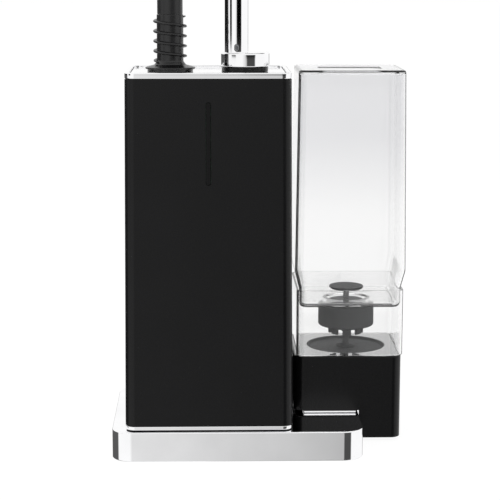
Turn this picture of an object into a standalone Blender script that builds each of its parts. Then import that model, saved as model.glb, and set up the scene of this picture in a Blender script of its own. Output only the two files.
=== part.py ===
"""Upright garment steamer: boiler housing on a plated base, docked water tank, telescopic pole and hose.

Metres, +Z up. The origin is the middle of the footprint, on the surface that the feet stand on.
The front faces -Y and the tank stands on the +X side.
"""

import math

import bmesh
import bpy
from mathutils import Matrix, Vector

MM = 0.001

# Fits
SEAT = 0.3 * MM
CORNER_STEPS = 4
ROUND_STEPS = 20
SMALL_STEPS = 12

# Base plate, its cover and feet
PLATE_WIDTH = 232.4 * MM
PLATE_DEPTH = 168.0 * MM
PLATE_LEFT = -138.1 * MM
PLATE_BOTTOM = 0.3 * MM
PLATE_HEIGHT = 27.5 * MM
PLATE_CORNER = 19.0 * MM
PLATE_WALL = 3.0 * MM
PLATE_EDGE = 2.0 * MM
COVER_THICKNESS = 2.5 * MM
FOOT_RADIUS = 8.0 * MM
FOOT_HEIGHT = 2.0 * MM
FOOT_INSET = 26.0 * MM
BOSS_RADIUS = 4.5 * MM
BOSS_INSET = 44.0 * MM
SCREW_HEAD_RADIUS = 3.5 * MM
SCREW_HEAD_HEIGHT = 1.5 * MM
SCREW_RADIUS = 1.6 * MM
SCREW_LENGTH = 9.0 * MM

# Boiler housing
BODY_WIDTH = 154.0 * MM
BODY_TOP_WIDTH = 149.0 * MM
BODY_DEPTH = 117.0 * MM
BODY_CORNER = 9.0 * MM
BODY_WALL = 2.5 * MM
BODY_MARGIN_LEFT = 12.6 * MM
BODY_MARGIN_FRONT = 5.0 * MM
SHADOW_GAP = 0.9 * MM
LOWER_TRIM_HEIGHT = 3.4 * MM
LOWER_TRIM_DEPTH = 4.5 * MM
HOUSING_HEIGHT = 317.5 * MM
UPPER_TRIM_HEIGHT = 5.5 * MM
UPPER_TRIM_DEPTH = 4.0 * MM
LEDGE_HEIGHT = 1.2 * MM
LEDGE_DEPTH = 3.0 * MM
TOP_THICKNESS = 2.2 * MM
STRIP_WIDTH = 4.2 * MM
STRIP_LENGTH = 74.0 * MM
STRIP_BELOW_TOP = 20.5 * MM
STRIP_RECESS = 0.2 * MM

# Inside the housing
CHASSIS_THICKNESS = 2.5 * MM
CHASSIS_WALL_WIDTH = 62.0 * MM
CHASSIS_WALL_HEIGHT = 300.0 * MM
STAND_RADIUS = 36.0 * MM
STAND_WALL = 3.0 * MM
STAND_HEIGHT = 12.0 * MM
BOARD_WIDTH = 52.0 * MM
BOARD_HEIGHT = 96.0 * MM
BOARD_THICKNESS = 1.6 * MM
BOILER_RADIUS = 42.0 * MM
BOILER_HEIGHT = 114.0 * MM
BOILER_WALL = 2.5 * MM
BOILER_FROM_MIDDLE = 24.0 * MM
LID_OVERHANG = 2.0 * MM
LID_RIM = 3.0 * MM
LID_DOME = 6.0 * MM
ELEMENT_RADIUS = 28.0 * MM
ELEMENT_TUBE = 3.5 * MM
ELEMENT_GAP_DEG = 40.0
ELEMENT_STEPS = 20
THERMOSTAT_RADIUS = 7.0 * MM
THERMOSTAT_HEIGHT = 7.0 * MM
PUMP_RADIUS = 20.0 * MM
PUMP_HEIGHT = 66.0 * MM
PUMP_FROM_MIDDLE = 46.0 * MM
PIPE_RADIUS = 3.5 * MM
PIPE_LEVEL = 14.0 * MM
STEAM_PIPE_RADIUS = 4.5 * MM
INLET_WIDTH = 30.0 * MM
INLET_HEIGHT = 22.0 * MM
INLET_DEPTH = 26.0 * MM
INLET_FLANGE = 4.0 * MM
INLET_FLANGE_THICKNESS = 2.0 * MM
INLET_WALL = 3.0 * MM
INLET_RECESS = 17.0 * MM
INLET_LEVEL = 72.0 * MM
INLET_FROM_MIDDLE = 45.0 * MM

# Hose, its boot and kink guard
HOSE_FROM_LEFT = 42.3 * MM
HOSE_FROM_FRONT = 54.0 * MM
HOSE_DIAMETER = 23.2 * MM
BOOT_RADIUS = 12.1 * MM
BOOT_HEIGHT = 51.4 * MM
BOOT_BORE = 6.0 * MM
FLANGE_RADIUS = 22.8 * MM
FLANGE_SEAT_RADIUS = 20.9 * MM
FLANGE_SEAT_HEIGHT = 2.0 * MM
FLANGE_RIM = 1.6 * MM
FLANGE_CONE = 3.2 * MM
GUARD_WIRE = 2.6 * MM
GUARD_PITCH = 9.0 * MM
GUARD_TURNS = 4.6
GUARD_BELOW_TOP = 1.6 * MM
GUARD_POINTS_PER_TURN = 10
RISE_SETBACKS = (0.0, 3.0 * MM, 12.0 * MM, 21.0 * MM, 24.0 * MM)
RISE_LEVELS = (432.0 * MM, 456.0 * MM, 481.0 * MM, 506.0 * MM, 530.0 * MM)

# Pole: socket, collar and three tubes
POLE_FROM_LEFT = 102.9 * MM
POLE_RADIUS = 10.75 * MM
POLE_WALL = 1.2 * MM
POLE_TOP = 735.0 * MM
SOCKET_WALL = 2.4 * MM
SOCKET_DEPTH = 52.0 * MM
SOCKET_FLOOR = 3.0 * MM
SOCKET_RING_HEIGHT = 4.3 * MM
SOCKET_RING_INSET = 1.4 * MM
COLLAR_RADIUS = 22.2 * MM
COLLAR_OFFSET = 8.0 * MM
COLLAR_HEIGHT = 12.5 * MM
COLLAR_EDGE = 1.6 * MM
BUTTON_WIDTH = 3.7 * MM
BUTTON_HEIGHT = 6.4 * MM
BUTTON_LENGTH = 6.4 * MM
BUTTON_PROUD = 2.7 * MM
BUTTON_ABOVE_COLLAR = 1.2 * MM
BUTTON_SPRING_WIRE = 1.2 * MM
BUTTON_SPRING_DROP = 34.0 * MM
BUTTON_SPRING_STEPS = 8
TUBE_GAP = 0.3 * MM
TUBE_STOP_ABOVE_BUTTON = 22.4 * MM
TUBE_SHOW = 22.0 * MM
RING_WALL = 3.4 * MM
RING_SKIRT = 20.0 * MM
RING_LIP = 10.0 * MM
RING_EDGE = 1.5 * MM
CAP_RADIUS = 9.5 * MM
CAP_HEIGHT = 11.7 * MM
CAP_SPIGOT = 13.0 * MM

# Hose coil, the saddle that carries it and the head's cradle
COIL_RADIUS = 118.0 * MM
COIL_TURNS = 2
COIL_POINTS_PER_TURN = 24
COIL_PITCH = 28.0 * MM
COIL_LEVEL = 572.0 * MM
COIL_STRAIGHT = 23.2 * MM
SADDLE_THICKNESS = 7.0 * MM
SADDLE_FROM_DEG = 62.0
SADDLE_TO_DEG = 121.0
SADDLE_LIP = 9.0 * MM
SADDLE_LIP_TRIM_DEG = 1.5
SADDLE_LIP_THICKNESS = 4.0 * MM
SADDLE_BAR_HEIGHT = 14.0 * MM
SADDLE_CLAMP_HEIGHT = 20.0 * MM
CLAMP_WALL = 5.5 * MM
CRADLE_LEVEL = 700.0 * MM
CRADLE_THICKNESS = 11.5 * MM
CRADLE_ARM_WIDTH = 17.0 * MM
FORK_WALL = 8.0 * MM

# Steam head
SWIVEL_RADIUS = 13.5 * MM
SWIVEL_HEIGHT = 22.4 * MM
HANDLE_FOOT_RADIUS = 15.0 * MM
HANDLE_RADIUS = 17.0 * MM
NECK_RADIUS = 13.0 * MM
NECK_RISE = 4.0 * MM
HEAD_WIDTH = 102.0 * MM
HEAD_DEPTH = 52.0 * MM
HEAD_HEIGHT = 58.0 * MM
HEAD_CORNER = 14.0 * MM
HEAD_EDGE = 5.0 * MM
STEAM_PLATE_MARGIN = 6.0 * MM
STEAM_PLATE_THICKNESS = 3.0 * MM
STEAM_HOLE_RADIUS = 2.2 * MM
STEAM_HOLE_COUNT = 6
TRIGGER_WIDTH = 13.0 * MM
TRIGGER_HEIGHT = 30.0 * MM
TRIGGER_LENGTH = 8.0 * MM
TRIGGER_PROUD = 4.0 * MM
TRIGGER_TRAVEL = 3.0 * MM
TRIGGER_LEVEL = 664.0 * MM

# Tank dock, its sleeve and well
DOCK_WIDTH = 102.2 * MM
DOCK_DEPTH = 105.0 * MM
DOCK_BOTTOM = 3.5 * MM
DOCK_TOP = 83.4 * MM
DOCK_CORNER = 9.0 * MM
DOCK_WALL = 3.0 * MM
DOCK_FLOOR = 74.0 * MM
DOCK_GAP = 4.1 * MM
DOCK_TRIM_HEIGHT = 2.4 * MM
DOCK_TRIM_INSET = 0.6 * MM
DOCK_FOOT_SHARE = 0.3
DOCK_FOOT_PAD = 1.5
WELL_RADIUS = 38.2 * MM
WELL_DEPTH = 4.0 * MM
CUP_WALL = 1.6 * MM
CUP_DRAIN = 2.5 * MM
SLEEVE_WIDTH = 101.5 * MM
SLEEVE_DEPTH = 100.5 * MM
SLEEVE_WALL = 2.0 * MM
SLEEVE_HEIGHT = 63.0 * MM
SLEEVE_CORNER = 8.0 * MM
PIN_RADIUS = 3.0 * MM
PIN_FOOT_RADIUS = 9.0 * MM
PIN_FOOT_HEIGHT = 4.0 * MM

# Water tank, cap and valve
TANK_WIDTH = 104.9 * MM
TANK_DEPTH = 104.0 * MM
TANK_DRAFT = 2.4 * MM
TANK_FROM_DOCK_MIDDLE = 1.9 * MM
TANK_CORNER = 9.0 * MM
TANK_HEIGHT = 207.1 * MM
TANK_TAPER_HEIGHT = 17.7 * MM
TANK_WALL = 2.2 * MM
TANK_EDGE = 2.4 * MM
TANK_TOP_THICKNESS = 3.0 * MM
TANK_PANEL_WIDTH = 60.0 * MM
TANK_PANEL_DEPTH = 56.0 * MM
TANK_PANEL_RECESS = 1.2 * MM
PLUG_LENGTH = 17.1 * MM
PLUG_CLEARANCE = 0.5 * MM
NECK_OUTER = 23.0 * MM
NECK_BORE = 20.0 * MM
NECK_LENGTH = 15.4 * MM
CAP_WALL = 3.4 * MM
CAP_THREAD_GAP = 0.6 * MM
CAP_RIM_DROP = 5.6 * MM
CAP_FLOOR = 10.4 * MM
CAP_CHAMFER = 4.8 * MM
SEAL_HEIGHT = 2.0 * MM
SEAL_WIDTH = 4.0 * MM
CAGE_RADIUS = 17.1 * MM
CAGE_WALL = 3.0 * MM
CAGE_HEIGHT = 5.6 * MM
CAGE_WINDOW_WIDTH = 5.5 * MM
CAGE_WINDOW_CUTS = 4
STEM_RADIUS = 2.8 * MM
STEM_DROP = 5.0 * MM
STEM_COLLAR_RADIUS = 3.9 * MM
STEM_COLLAR_HEIGHT = 2.0 * MM
VALVE_HEAD_RADIUS = 10.0 * MM
VALVE_HEAD_HEIGHT = 3.0 * MM
VALVE_DISC_RADIUS = 16.5 * MM
VALVE_DISC_HEIGHT = 1.6 * MM
VALVE_DISC_ABOVE_FLOOR = 8.4 * MM
VALVE_DISC_SPACING = 12.5 * MM
SPRING_POCKET_RADIUS = 4.7 * MM
SPRING_POCKET_DEPTH = 7.0 * MM
SPRING_WIRE = 0.9 * MM
SPRING_TURNS = 4
SPRING_POINTS_PER_TURN = 10

# Places worked out from the sizes above
PLATE_RIGHT = PLATE_LEFT + PLATE_WIDTH
PLATE_X = PLATE_LEFT + PLATE_WIDTH / 2
PLATE_FRONT = -PLATE_DEPTH / 2
PLATE_TOP = PLATE_BOTTOM + PLATE_HEIGHT
COVER_BOTTOM = FOOT_HEIGHT + SEAT
COVER_TOP = COVER_BOTTOM + COVER_THICKNESS

BODY_LEFT = PLATE_LEFT + BODY_MARGIN_LEFT
BODY_X = BODY_LEFT + BODY_WIDTH / 2
BODY_FRONT = PLATE_FRONT + BODY_MARGIN_FRONT
BODY_Y = BODY_FRONT + BODY_DEPTH / 2
BODY_BACK = BODY_FRONT + BODY_DEPTH
LOWER_TRIM_BOTTOM = PLATE_TOP + SHADOW_GAP
HOUSING_BOTTOM = LOWER_TRIM_BOTTOM + LOWER_TRIM_HEIGHT + SEAT
HOUSING_TOP = HOUSING_BOTTOM + HOUSING_HEIGHT
UPPER_TRIM_BOTTOM = HOUSING_TOP + SEAT
BODY_TOP = UPPER_TRIM_BOTTOM + UPPER_TRIM_HEIGHT
TOP_COVER_BOTTOM = UPPER_TRIM_BOTTOM + LEDGE_HEIGHT + SEAT
TOP_COVER_TOP = TOP_COVER_BOTTOM + TOP_THICKNESS
STRIP_MIDDLE = HOUSING_TOP - STRIP_BELOW_TOP - STRIP_LENGTH / 2

CHASSIS_BOTTOM = PLATE_TOP + SEAT
CHASSIS_TOP = CHASSIS_BOTTOM + CHASSIS_THICKNESS
BOILER_X = BODY_X - BOILER_FROM_MIDDLE
BOILER_BOTTOM = CHASSIS_TOP + STAND_HEIGHT + SEAT
BOILER_TOP = BOILER_BOTTOM + BOILER_HEIGHT
LID_BOTTOM = BOILER_TOP + SEAT
LID_TOP = LID_BOTTOM + LID_RIM + LID_DOME
PUMP_X = BODY_X + PUMP_FROM_MIDDLE
INLET_X = BODY_X + INLET_FROM_MIDDLE
PUMP_BOTTOM = CHASSIS_TOP + SEAT
PUMP_TOP = PUMP_BOTTOM + PUMP_HEIGHT

HOSE_X = BODY_LEFT + HOSE_FROM_LEFT
HOSE_Y = BODY_FRONT + HOSE_FROM_FRONT
HOSE_RADIUS = HOSE_DIAMETER / 2
BOOT_BOTTOM = TOP_COVER_TOP + SEAT
BOOT_TOP = BOOT_BOTTOM + BOOT_HEIGHT

POLE_X = BODY_LEFT + POLE_FROM_LEFT
POLE_Y = HOSE_Y
COLLAR_X = POLE_X + COLLAR_OFFSET
SOCKET_RING_BOTTOM = TOP_COVER_TOP + SEAT
SOCKET_RING_TOP = SOCKET_RING_BOTTOM + SOCKET_RING_HEIGHT
SOCKET_BORE = POLE_RADIUS + SEAT
SOCKET_RADIUS = SOCKET_BORE + SOCKET_WALL
SOCKET_FLOOR_TOP = SOCKET_RING_BOTTOM - SOCKET_DEPTH
COLLAR_BOTTOM = SOCKET_RING_TOP + SEAT
COLLAR_TOP = COLLAR_BOTTOM + COLLAR_HEIGHT
BUTTON_MIDDLE = COLLAR_TOP + BUTTON_ABOVE_COLLAR + BUTTON_HEIGHT / 2
BUTTON_TIP = POLE_Y - POLE_RADIUS - BUTTON_PROUD
BUTTON_BACK = BUTTON_TIP + BUTTON_LENGTH
TUBE_STOP = BUTTON_MIDDLE + BUTTON_HEIGHT / 2 + TUBE_STOP_ABOVE_BUTTON
MID_RADIUS = POLE_RADIUS - POLE_WALL - TUBE_GAP
MID_TOP = POLE_TOP + TUBE_SHOW
UPPER_RADIUS = MID_RADIUS - POLE_WALL - TUBE_GAP
UPPER_TOP = MID_TOP + TUBE_SHOW + RING_LIP - RING_EDGE

COIL_X = HOSE_X + COIL_RADIUS
COIL_FRONT_Y = HOSE_Y + RISE_SETBACKS[-1]
COIL_BACK_Y = COIL_FRONT_Y + COIL_PITCH * COIL_TURNS
COIL_START = COIL_LEVEL - COIL_STRAIGHT
COIL_END = COIL_LEVEL + COIL_STRAIGHT
SADDLE_RADIUS = COIL_RADIUS * math.cos(math.pi / COIL_POINTS_PER_TURN) - HOSE_RADIUS - SEAT
CLAMP_BORE = POLE_RADIUS + SEAT
CLAMP_RADIUS = CLAMP_BORE + CLAMP_WALL

HEAD_X = HOSE_X
HEAD_Y = COIL_BACK_Y
SWIVEL_BOTTOM = COIL_END + SEAT
HANDLE_BOTTOM = SWIVEL_BOTTOM + SWIVEL_HEIGHT + SEAT
CRADLE_TOP = CRADLE_LEVEL + CRADLE_THICKNESS
HANDLE_TOP = CRADLE_TOP + NECK_RISE
HEAD_BOTTOM = HANDLE_TOP + SEAT
HEAD_TOP = HEAD_BOTTOM + HEAD_HEIGHT
HEAD_FRONT = HEAD_Y - HEAD_DEPTH / 2

DOCK_LEFT = BODY_LEFT + BODY_WIDTH + DOCK_GAP
DOCK_X = DOCK_LEFT + DOCK_WIDTH / 2
TANK_X = DOCK_X + TANK_FROM_DOCK_MIDDLE
DOCK_BACK = PLATE_FRONT + PLATE_DEPTH
DOCK_Y = DOCK_BACK - DOCK_DEPTH / 2
DOCK_OVERHANG_LEFT = PLATE_RIGHT + 2 * SEAT
DOCK_OVERHANG_RIGHT = DOCK_LEFT + DOCK_WIDTH - DOCK_WALL
DOCK_FOOT_X = (DOCK_OVERHANG_LEFT + DOCK_OVERHANG_RIGHT) / 2
DOCK_FOOT_RADIUS = DOCK_FOOT_SHARE * (DOCK_OVERHANG_RIGHT - DOCK_FOOT_X)
FEED_X = (DOCK_LEFT + PLATE_RIGHT) / 2
FEED_LEVEL = (PLATE_TOP + DOCK_FLOOR) / 2
DOCK_TRIM_BOTTOM = PLATE_TOP + SEAT
DOCK_STEP = DOCK_TRIM_BOTTOM + DOCK_TRIM_HEIGHT + SEAT
WELL_FLOOR = DOCK_TOP - WELL_DEPTH
CUP_RADIUS = WELL_RADIUS - SEAT
CUP_BOTTOM = WELL_FLOOR + SEAT
CUP_FLOOR_TOP = CUP_BOTTOM + CUP_WALL
SLEEVE_BOTTOM = DOCK_TOP + SEAT
SLEEVE_TOP = SLEEVE_BOTTOM + SLEEVE_HEIGHT

TANK_SHOULDER = SLEEVE_TOP + SEAT
TANK_TOP = TANK_SHOULDER + TANK_HEIGHT
TANK_FULL = TANK_SHOULDER + TANK_TAPER_HEIGHT
PLUG_WIDTH = SLEEVE_WIDTH - 2 * (SLEEVE_WALL + PLUG_CLEARANCE)
PLUG_DEPTH = SLEEVE_DEPTH - 2 * (SLEEVE_WALL + PLUG_CLEARANCE)
PLUG_CORNER = SLEEVE_CORNER - SLEEVE_WALL
PLUG_BOTTOM = TANK_SHOULDER - PLUG_LENGTH
TANK_FLOOR = PLUG_BOTTOM + TANK_WALL
NECK_BOTTOM = PLUG_BOTTOM - NECK_LENGTH
SEAL_BOTTOM = NECK_BOTTOM - SEAT - SEAL_HEIGHT
CAP_FLOOR_TOP = SEAL_BOTTOM - SEAT
TANK_CAP_TOP = PLUG_BOTTOM - CAP_RIM_DROP
CAP_BORE = NECK_OUTER + CAP_THREAD_GAP
TANK_CAP_RADIUS = CAP_BORE + CAP_WALL
CAP_UNDERSIDE = CAP_FLOOR_TOP - CAP_FLOOR
CAGE_BOTTOM = CAP_UNDERSIDE - CAGE_HEIGHT
STEM_BOTTOM = CAP_UNDERSIDE - STEM_DROP
VALVE_DISC_BOTTOM = TANK_FLOOR + VALVE_DISC_ABOVE_FLOOR
SPRING_BOTTOM = STEM_BOTTOM + STEM_COLLAR_HEIGHT + SEAT
SPRING_TOP = CAP_UNDERSIDE + SPRING_POCKET_DEPTH - SEAT


# Scene, finishes and objects

def clear_scene():
    """Remove every object of the start-up scene."""
    for obj in list(bpy.data.objects):
        bpy.data.objects.remove(obj, do_unlink=True)


def new_collection(name):
    """Add a collection to the scene."""
    collection = bpy.data.collections.new(name)
    bpy.context.scene.collection.children.link(collection)
    return collection


def finish(name, colour, roughness, metallic=0.0, transmission=0.0):
    """A Principled finish with one colour."""
    material = bpy.data.materials.new(name)
    material.use_nodes = True
    shader = material.node_tree.nodes["Principled BSDF"]
    shader.inputs["Base Color"].default_value = (*colour, 1.0)
    shader.inputs["Roughness"].default_value = roughness
    shader.inputs["Metallic"].default_value = metallic
    shader.inputs["Transmission Weight"].default_value = transmission
    return material


def add_part(name, data, material, place=(0, 0, 0)):
    """Link a mesh or curve as a named part."""
    obj = bpy.data.objects.new(name, data)
    obj.location = place
    if material is None:
        CUTTERS.objects.link(obj)
        obj.hide_render = True
        obj.display_type = "WIRE"
    else:
        data.materials.append(material)
        PARTS.objects.link(obj)
    return obj


def mesh_of(bm, name):
    """Write a bmesh to a new mesh with outward faces and smooth round sides."""
    bm.normal_update()
    bmesh.ops.recalc_face_normals(bm, faces=bm.faces)
    mesh = bpy.data.meshes.new(name)
    bm.to_mesh(mesh)
    bm.free()
    mesh.shade_smooth()
    mesh.set_sharp_from_angle(angle=math.radians(35))
    return mesh


# Shapes

def rounded_rectangle(width, depth, radius):
    """Outline of a rectangle with round corners, anticlockwise about its middle."""
    points = []
    quarter = math.pi / 2
    for number, (side_x, side_y) in enumerate(((1, -1), (1, 1), (-1, 1), (-1, -1))):
        centre = Vector((side_x * (width / 2 - radius), side_y * (depth / 2 - radius)))
        for step in range(CORNER_STEPS + 1):
            angle = quarter * (number - 1 + step / CORNER_STEPS)
            points.append(centre + radius * Vector((math.cos(angle), math.sin(angle))))
    return points


def circle(radius, centre=(0, 0), steps=ROUND_STEPS):
    """Outline of a circle."""
    angles = [2 * math.pi * i / steps for i in range(steps)]
    return [Vector(centre) + radius * Vector((math.cos(a), math.sin(a))) for a in angles]


def arc_band(radius_in, radius_out, start_deg, end_deg, steps=10):
    """Outline of a band between two arcs about the origin."""
    angles = [math.radians(start_deg + (end_deg - start_deg) * i / steps) for i in range(steps + 1)]
    outer = [radius_out * Vector((math.cos(a), math.sin(a))) for a in angles]
    inner = [radius_in * Vector((math.cos(a), math.sin(a))) for a in reversed(angles)]
    return outer + inner


def flat_solid(name, outlines, low, high, material, place=(0, 0)):
    """A flat outline, with holes if it has more than one, from one level to another."""
    curve = bpy.data.curves.new(name, "CURVE")
    curve.dimensions = "2D"
    curve.fill_mode = "BOTH"
    curve.extrude = (high - low) / 2
    for outline in outlines:
        spline = curve.splines.new("POLY")
        spline.points.add(len(outline) - 1)
        for point, target in zip(spline.points, outline):
            point.co = (target[0], target[1], 0, 1)
        spline.use_cyclic_u = True
    return meshed_curve(name, curve, material, (place[0], place[1], (low + high) / 2))


def meshed_curve(name, curve, material, place):
    """Turn a curve into a welded mesh part."""
    guide = bpy.data.objects.new(name + "_outline", curve)
    PARTS.objects.link(guide)
    bpy.context.view_layer.update()
    evaluated = guide.evaluated_get(bpy.context.evaluated_depsgraph_get())
    flat = bpy.data.meshes.new_from_object(evaluated)
    bm = bmesh.new()
    bm.from_mesh(flat)
    bmesh.ops.remove_doubles(bm, verts=bm.verts, dist=1e-6)
    bpy.data.objects.remove(guide, do_unlink=True)
    bpy.data.meshes.remove(flat)
    return add_part(name, mesh_of(bm, name), material, place)


def stacked(name, sections, material, place=(0, 0)):
    """A body lofted through rounded rectangles (width, depth, corner, level), top to bottom."""
    bm = bmesh.new()
    rings = []
    for width, depth, corner, level in sections:
        outline = rounded_rectangle(width, depth, corner)
        rings.append([bm.verts.new((p.x, p.y, level)) for p in outline])
    for upper, lower in zip(rings, rings[1:]):
        for i in range(len(upper)):
            j = (i + 1) % len(upper)
            bm.faces.new((upper[i], upper[j], lower[j], lower[i]))
    bm.faces.new(rings[0])
    bm.faces.new(rings[-1])
    return add_part(name, mesh_of(bm, name), material, (place[0], place[1], 0))


def rounded_top(edge, level):
    """Insets and levels of a top edge rounded by a size."""
    return (edge, level), (0.3 * edge, level - 0.3 * edge), (0, level - edge)


def turned(name, profile, material, place=(0, 0), closed=False, steps=ROUND_STEPS):
    """A profile of (radius, level) turned about a vertical axis, listed down its outer side."""
    mesh = bpy.data.meshes.new(name)
    edges = [(i, i + 1) for i in range(len(profile) - 1)]
    if closed:
        edges.append((len(profile) - 1, 0))
    mesh.from_pydata([(radius, 0, level) for radius, level in profile], edges, [])
    obj = add_part(name, mesh, material, (place[0], place[1], 0))
    screw = obj.modifiers.new("turn", "SCREW")
    screw.axis = "Z"
    screw.steps = steps
    screw.render_steps = steps
    screw.use_merge_vertices = True
    screw.merge_threshold = 0.00001
    screw.use_smooth_shade = True
    return obj


def rod(name, radius, low, high, material, place, axis="Z", steps=SMALL_STEPS):
    """A cylinder along an axis, from one coordinate on it to another; place gives the other two."""
    bm = bmesh.new()
    bmesh.ops.create_cone(bm, cap_ends=True, segments=steps, radius1=radius, radius2=radius,
                          depth=high - low)
    middle = (low + high) / 2
    if axis == "Y":
        bm.transform(Matrix.Rotation(math.pi / 2, 4, "X"))
        centre = (place[0], middle, place[1])
    elif axis == "X":
        bm.transform(Matrix.Rotation(math.pi / 2, 4, "Y"))
        centre = (middle, place[0], place[1])
    else:
        centre = (place[0], place[1], middle)
    return add_part(name, mesh_of(bm, name), material, centre)


def block(name, low, high, material):
    """A box between two corners."""
    bm = bmesh.new()
    bmesh.ops.create_cube(bm, size=1.0)
    size = Vector(high) - Vector(low)
    bmesh.ops.scale(bm, vec=size, verts=bm.verts)
    return add_part(name, mesh_of(bm, name), material, (Vector(low) + Vector(high)) / 2)


def tube(name, points, radius, material, resolution):
    """A round tube along points, with filled ends."""
    curve = bpy.data.curves.new(name, "CURVE")
    curve.dimensions = "3D"
    curve.bevel_depth = radius
    curve.bevel_resolution = resolution
    curve.use_fill_caps = True
    spline = curve.splines.new("POLY")
    spline.points.add(len(points) - 1)
    for point, target in zip(spline.points, points):
        point.co = (*target, 1)
    return add_part(name, curve, material)


def boolean(target, tool, operation):
    """Cut a tool from a part, or join it on."""
    modifier = target.modifiers.new(tool.name, "BOOLEAN")
    modifier.operation = operation
    modifier.object = tool
    modifier.solver = "EXACT"


def cut(target, *tools):
    """Cut tools from a part."""
    for tool in tools:
        boolean(target, tool, "DIFFERENCE")


def join(target, *tools):
    """Join tools on to a part."""
    for tool in tools:
        boolean(target, tool, "UNION")


def round_edges(obj, width, segments=2, angle=50):
    """Round a part's sharp edges."""
    bevel = obj.modifiers.new("edge", "BEVEL")
    bevel.width = width
    bevel.segments = segments
    bevel.limit_method = "ANGLE"
    bevel.angle_limit = math.radians(angle)


def smooth_path(points, spacing):
    """Points along a Catmull-Rom curve through the route's own points."""
    padded = [2 * points[0] - points[1], *points, 2 * points[-1] - points[-2]]
    path = []
    for a, b, c, d in zip(padded, padded[1:], padded[2:], padded[3:]):
        steps = max(1, round((c - b).length / spacing))
        for i in range(steps):
            t = i / steps
            bend = (2 * a - 5 * b + 4 * c - d) * t ** 2 + (3 * b - a - 3 * c + d) * t ** 3
            path.append((2 * b + (c - a) * t + bend) / 2)
    path.append(points[-1])
    return path


def report_self_gap(name, points, diameter, points_per_turn):
    """Print the least gap between a wound tube's turns, measured on its points."""
    near = points_per_turn // 2
    least = min((a - b).length for i, a in enumerate(points) for b in points[i + near:])
    print(f"{name}: least gap to itself {(least - diameter) / MM:.2f} mm")


# Base

def build_base():
    """Plated base, its cover, screws and feet."""
    levels = (*rounded_top(PLATE_EDGE, PLATE_TOP), (0, PLATE_BOTTOM))
    plate = stacked("base_plate", [
        (PLATE_WIDTH - 2 * inset, PLATE_DEPTH - 2 * inset, PLATE_CORNER - inset, level)
        for inset, level in levels], CHROME, (PLATE_X, 0))
    inside = rounded_rectangle(PLATE_WIDTH - 2 * PLATE_WALL, PLATE_DEPTH - 2 * PLATE_WALL,
                               PLATE_CORNER - PLATE_WALL)
    cut(plate, flat_solid("plate_hollow", [inside], -PLATE_BOTTOM, PLATE_TOP - PLATE_WALL, None,
                          (PLATE_X, 0)))

    bosses = corner_places(BOSS_INSET)
    rim = PLATE_WALL + SEAT
    outline = rounded_rectangle(PLATE_WIDTH - 2 * rim, PLATE_DEPTH - 2 * rim, PLATE_CORNER - rim)
    holes = [circle(SCREW_RADIUS + SEAT, place, SMALL_STEPS) for place in bosses]
    flat_solid("base_cover", [outline, *holes], COVER_BOTTOM, COVER_TOP, BLACK_PLASTIC, (PLATE_X, 0))

    for number, (x, y) in enumerate(bosses, 1):
        place = (PLATE_X + x, y)
        boss = rod(f"boss_{number}", BOSS_RADIUS, COVER_TOP + SEAT, PLATE_TOP - PLATE_WALL / 2, None, place)
        join(plate, boss)
        screw_top = COVER_BOTTOM - SEAT + SCREW_LENGTH
        pilot = rod(f"pilot_{number}", SCREW_RADIUS + SEAT, COVER_TOP, screw_top + SEAT, None, place)
        cut(plate, pilot)
        turned(f"base_screw_{number}", [
            (0, screw_top), (SCREW_RADIUS, screw_top), (SCREW_RADIUS, COVER_BOTTOM - SEAT),
            (SCREW_HEAD_RADIUS, COVER_BOTTOM - SEAT), (SCREW_HEAD_RADIUS, FOOT_HEIGHT - SCREW_HEAD_HEIGHT),
            (0, FOOT_HEIGHT - SCREW_HEAD_HEIGHT)], STEEL, place, steps=SMALL_STEPS)
    for number, (x, y) in enumerate(corner_places(FOOT_INSET), 1):
        foot(f"foot_{number}", FOOT_RADIUS, FOOT_HEIGHT, (PLATE_X + x, y))
    return plate


def corner_places(inset):
    """Four places near the plate's corners, about its middle."""
    x = PLATE_WIDTH / 2 - inset
    y = PLATE_DEPTH / 2 - inset
    return [(-x, -y), (x, -y), (x, y), (-x, y)]


def foot(name, radius, height, place):
    """A rubber foot with a narrower underside."""
    turned(name, [(0, height), (radius, height), (radius, height / 3), (radius * 0.9, 0), (0, 0)],
           RUBBER, place, steps=SMALL_STEPS)


# Housing

def body_section(width, inset):
    """Width, depth and corner of the housing's plan where it has a width, drawn in by an inset."""
    return width - 2 * inset, BODY_DEPTH - 2 * inset, BODY_CORNER - inset


def foot_outline(inset):
    """The housing's plan outline at its foot, drawn in by an inset."""
    return rounded_rectangle(*body_section(BODY_WIDTH, inset))


def top_outline(inset):
    """The housing's plan outline at its top, drawn in by an inset."""
    return rounded_rectangle(*body_section(BODY_TOP_WIDTH, inset))


def capsule(width, length):
    """Upright outline with round ends, in X and Z."""
    return rounded_rectangle(width, length, width / 2 - 1e-6)


def upright_capsule(name, width, length, front, back, material, x, level):
    """A capsule outline in X and Z, from a front to a back face."""
    obj = flat_solid(name, [capsule(width, length)], front, back, material)
    turn = Matrix.Rotation(math.pi / 2, 4, "X")
    obj.data.transform(turn)
    obj.location = (x, (front + back) / 2, level)
    return obj


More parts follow.
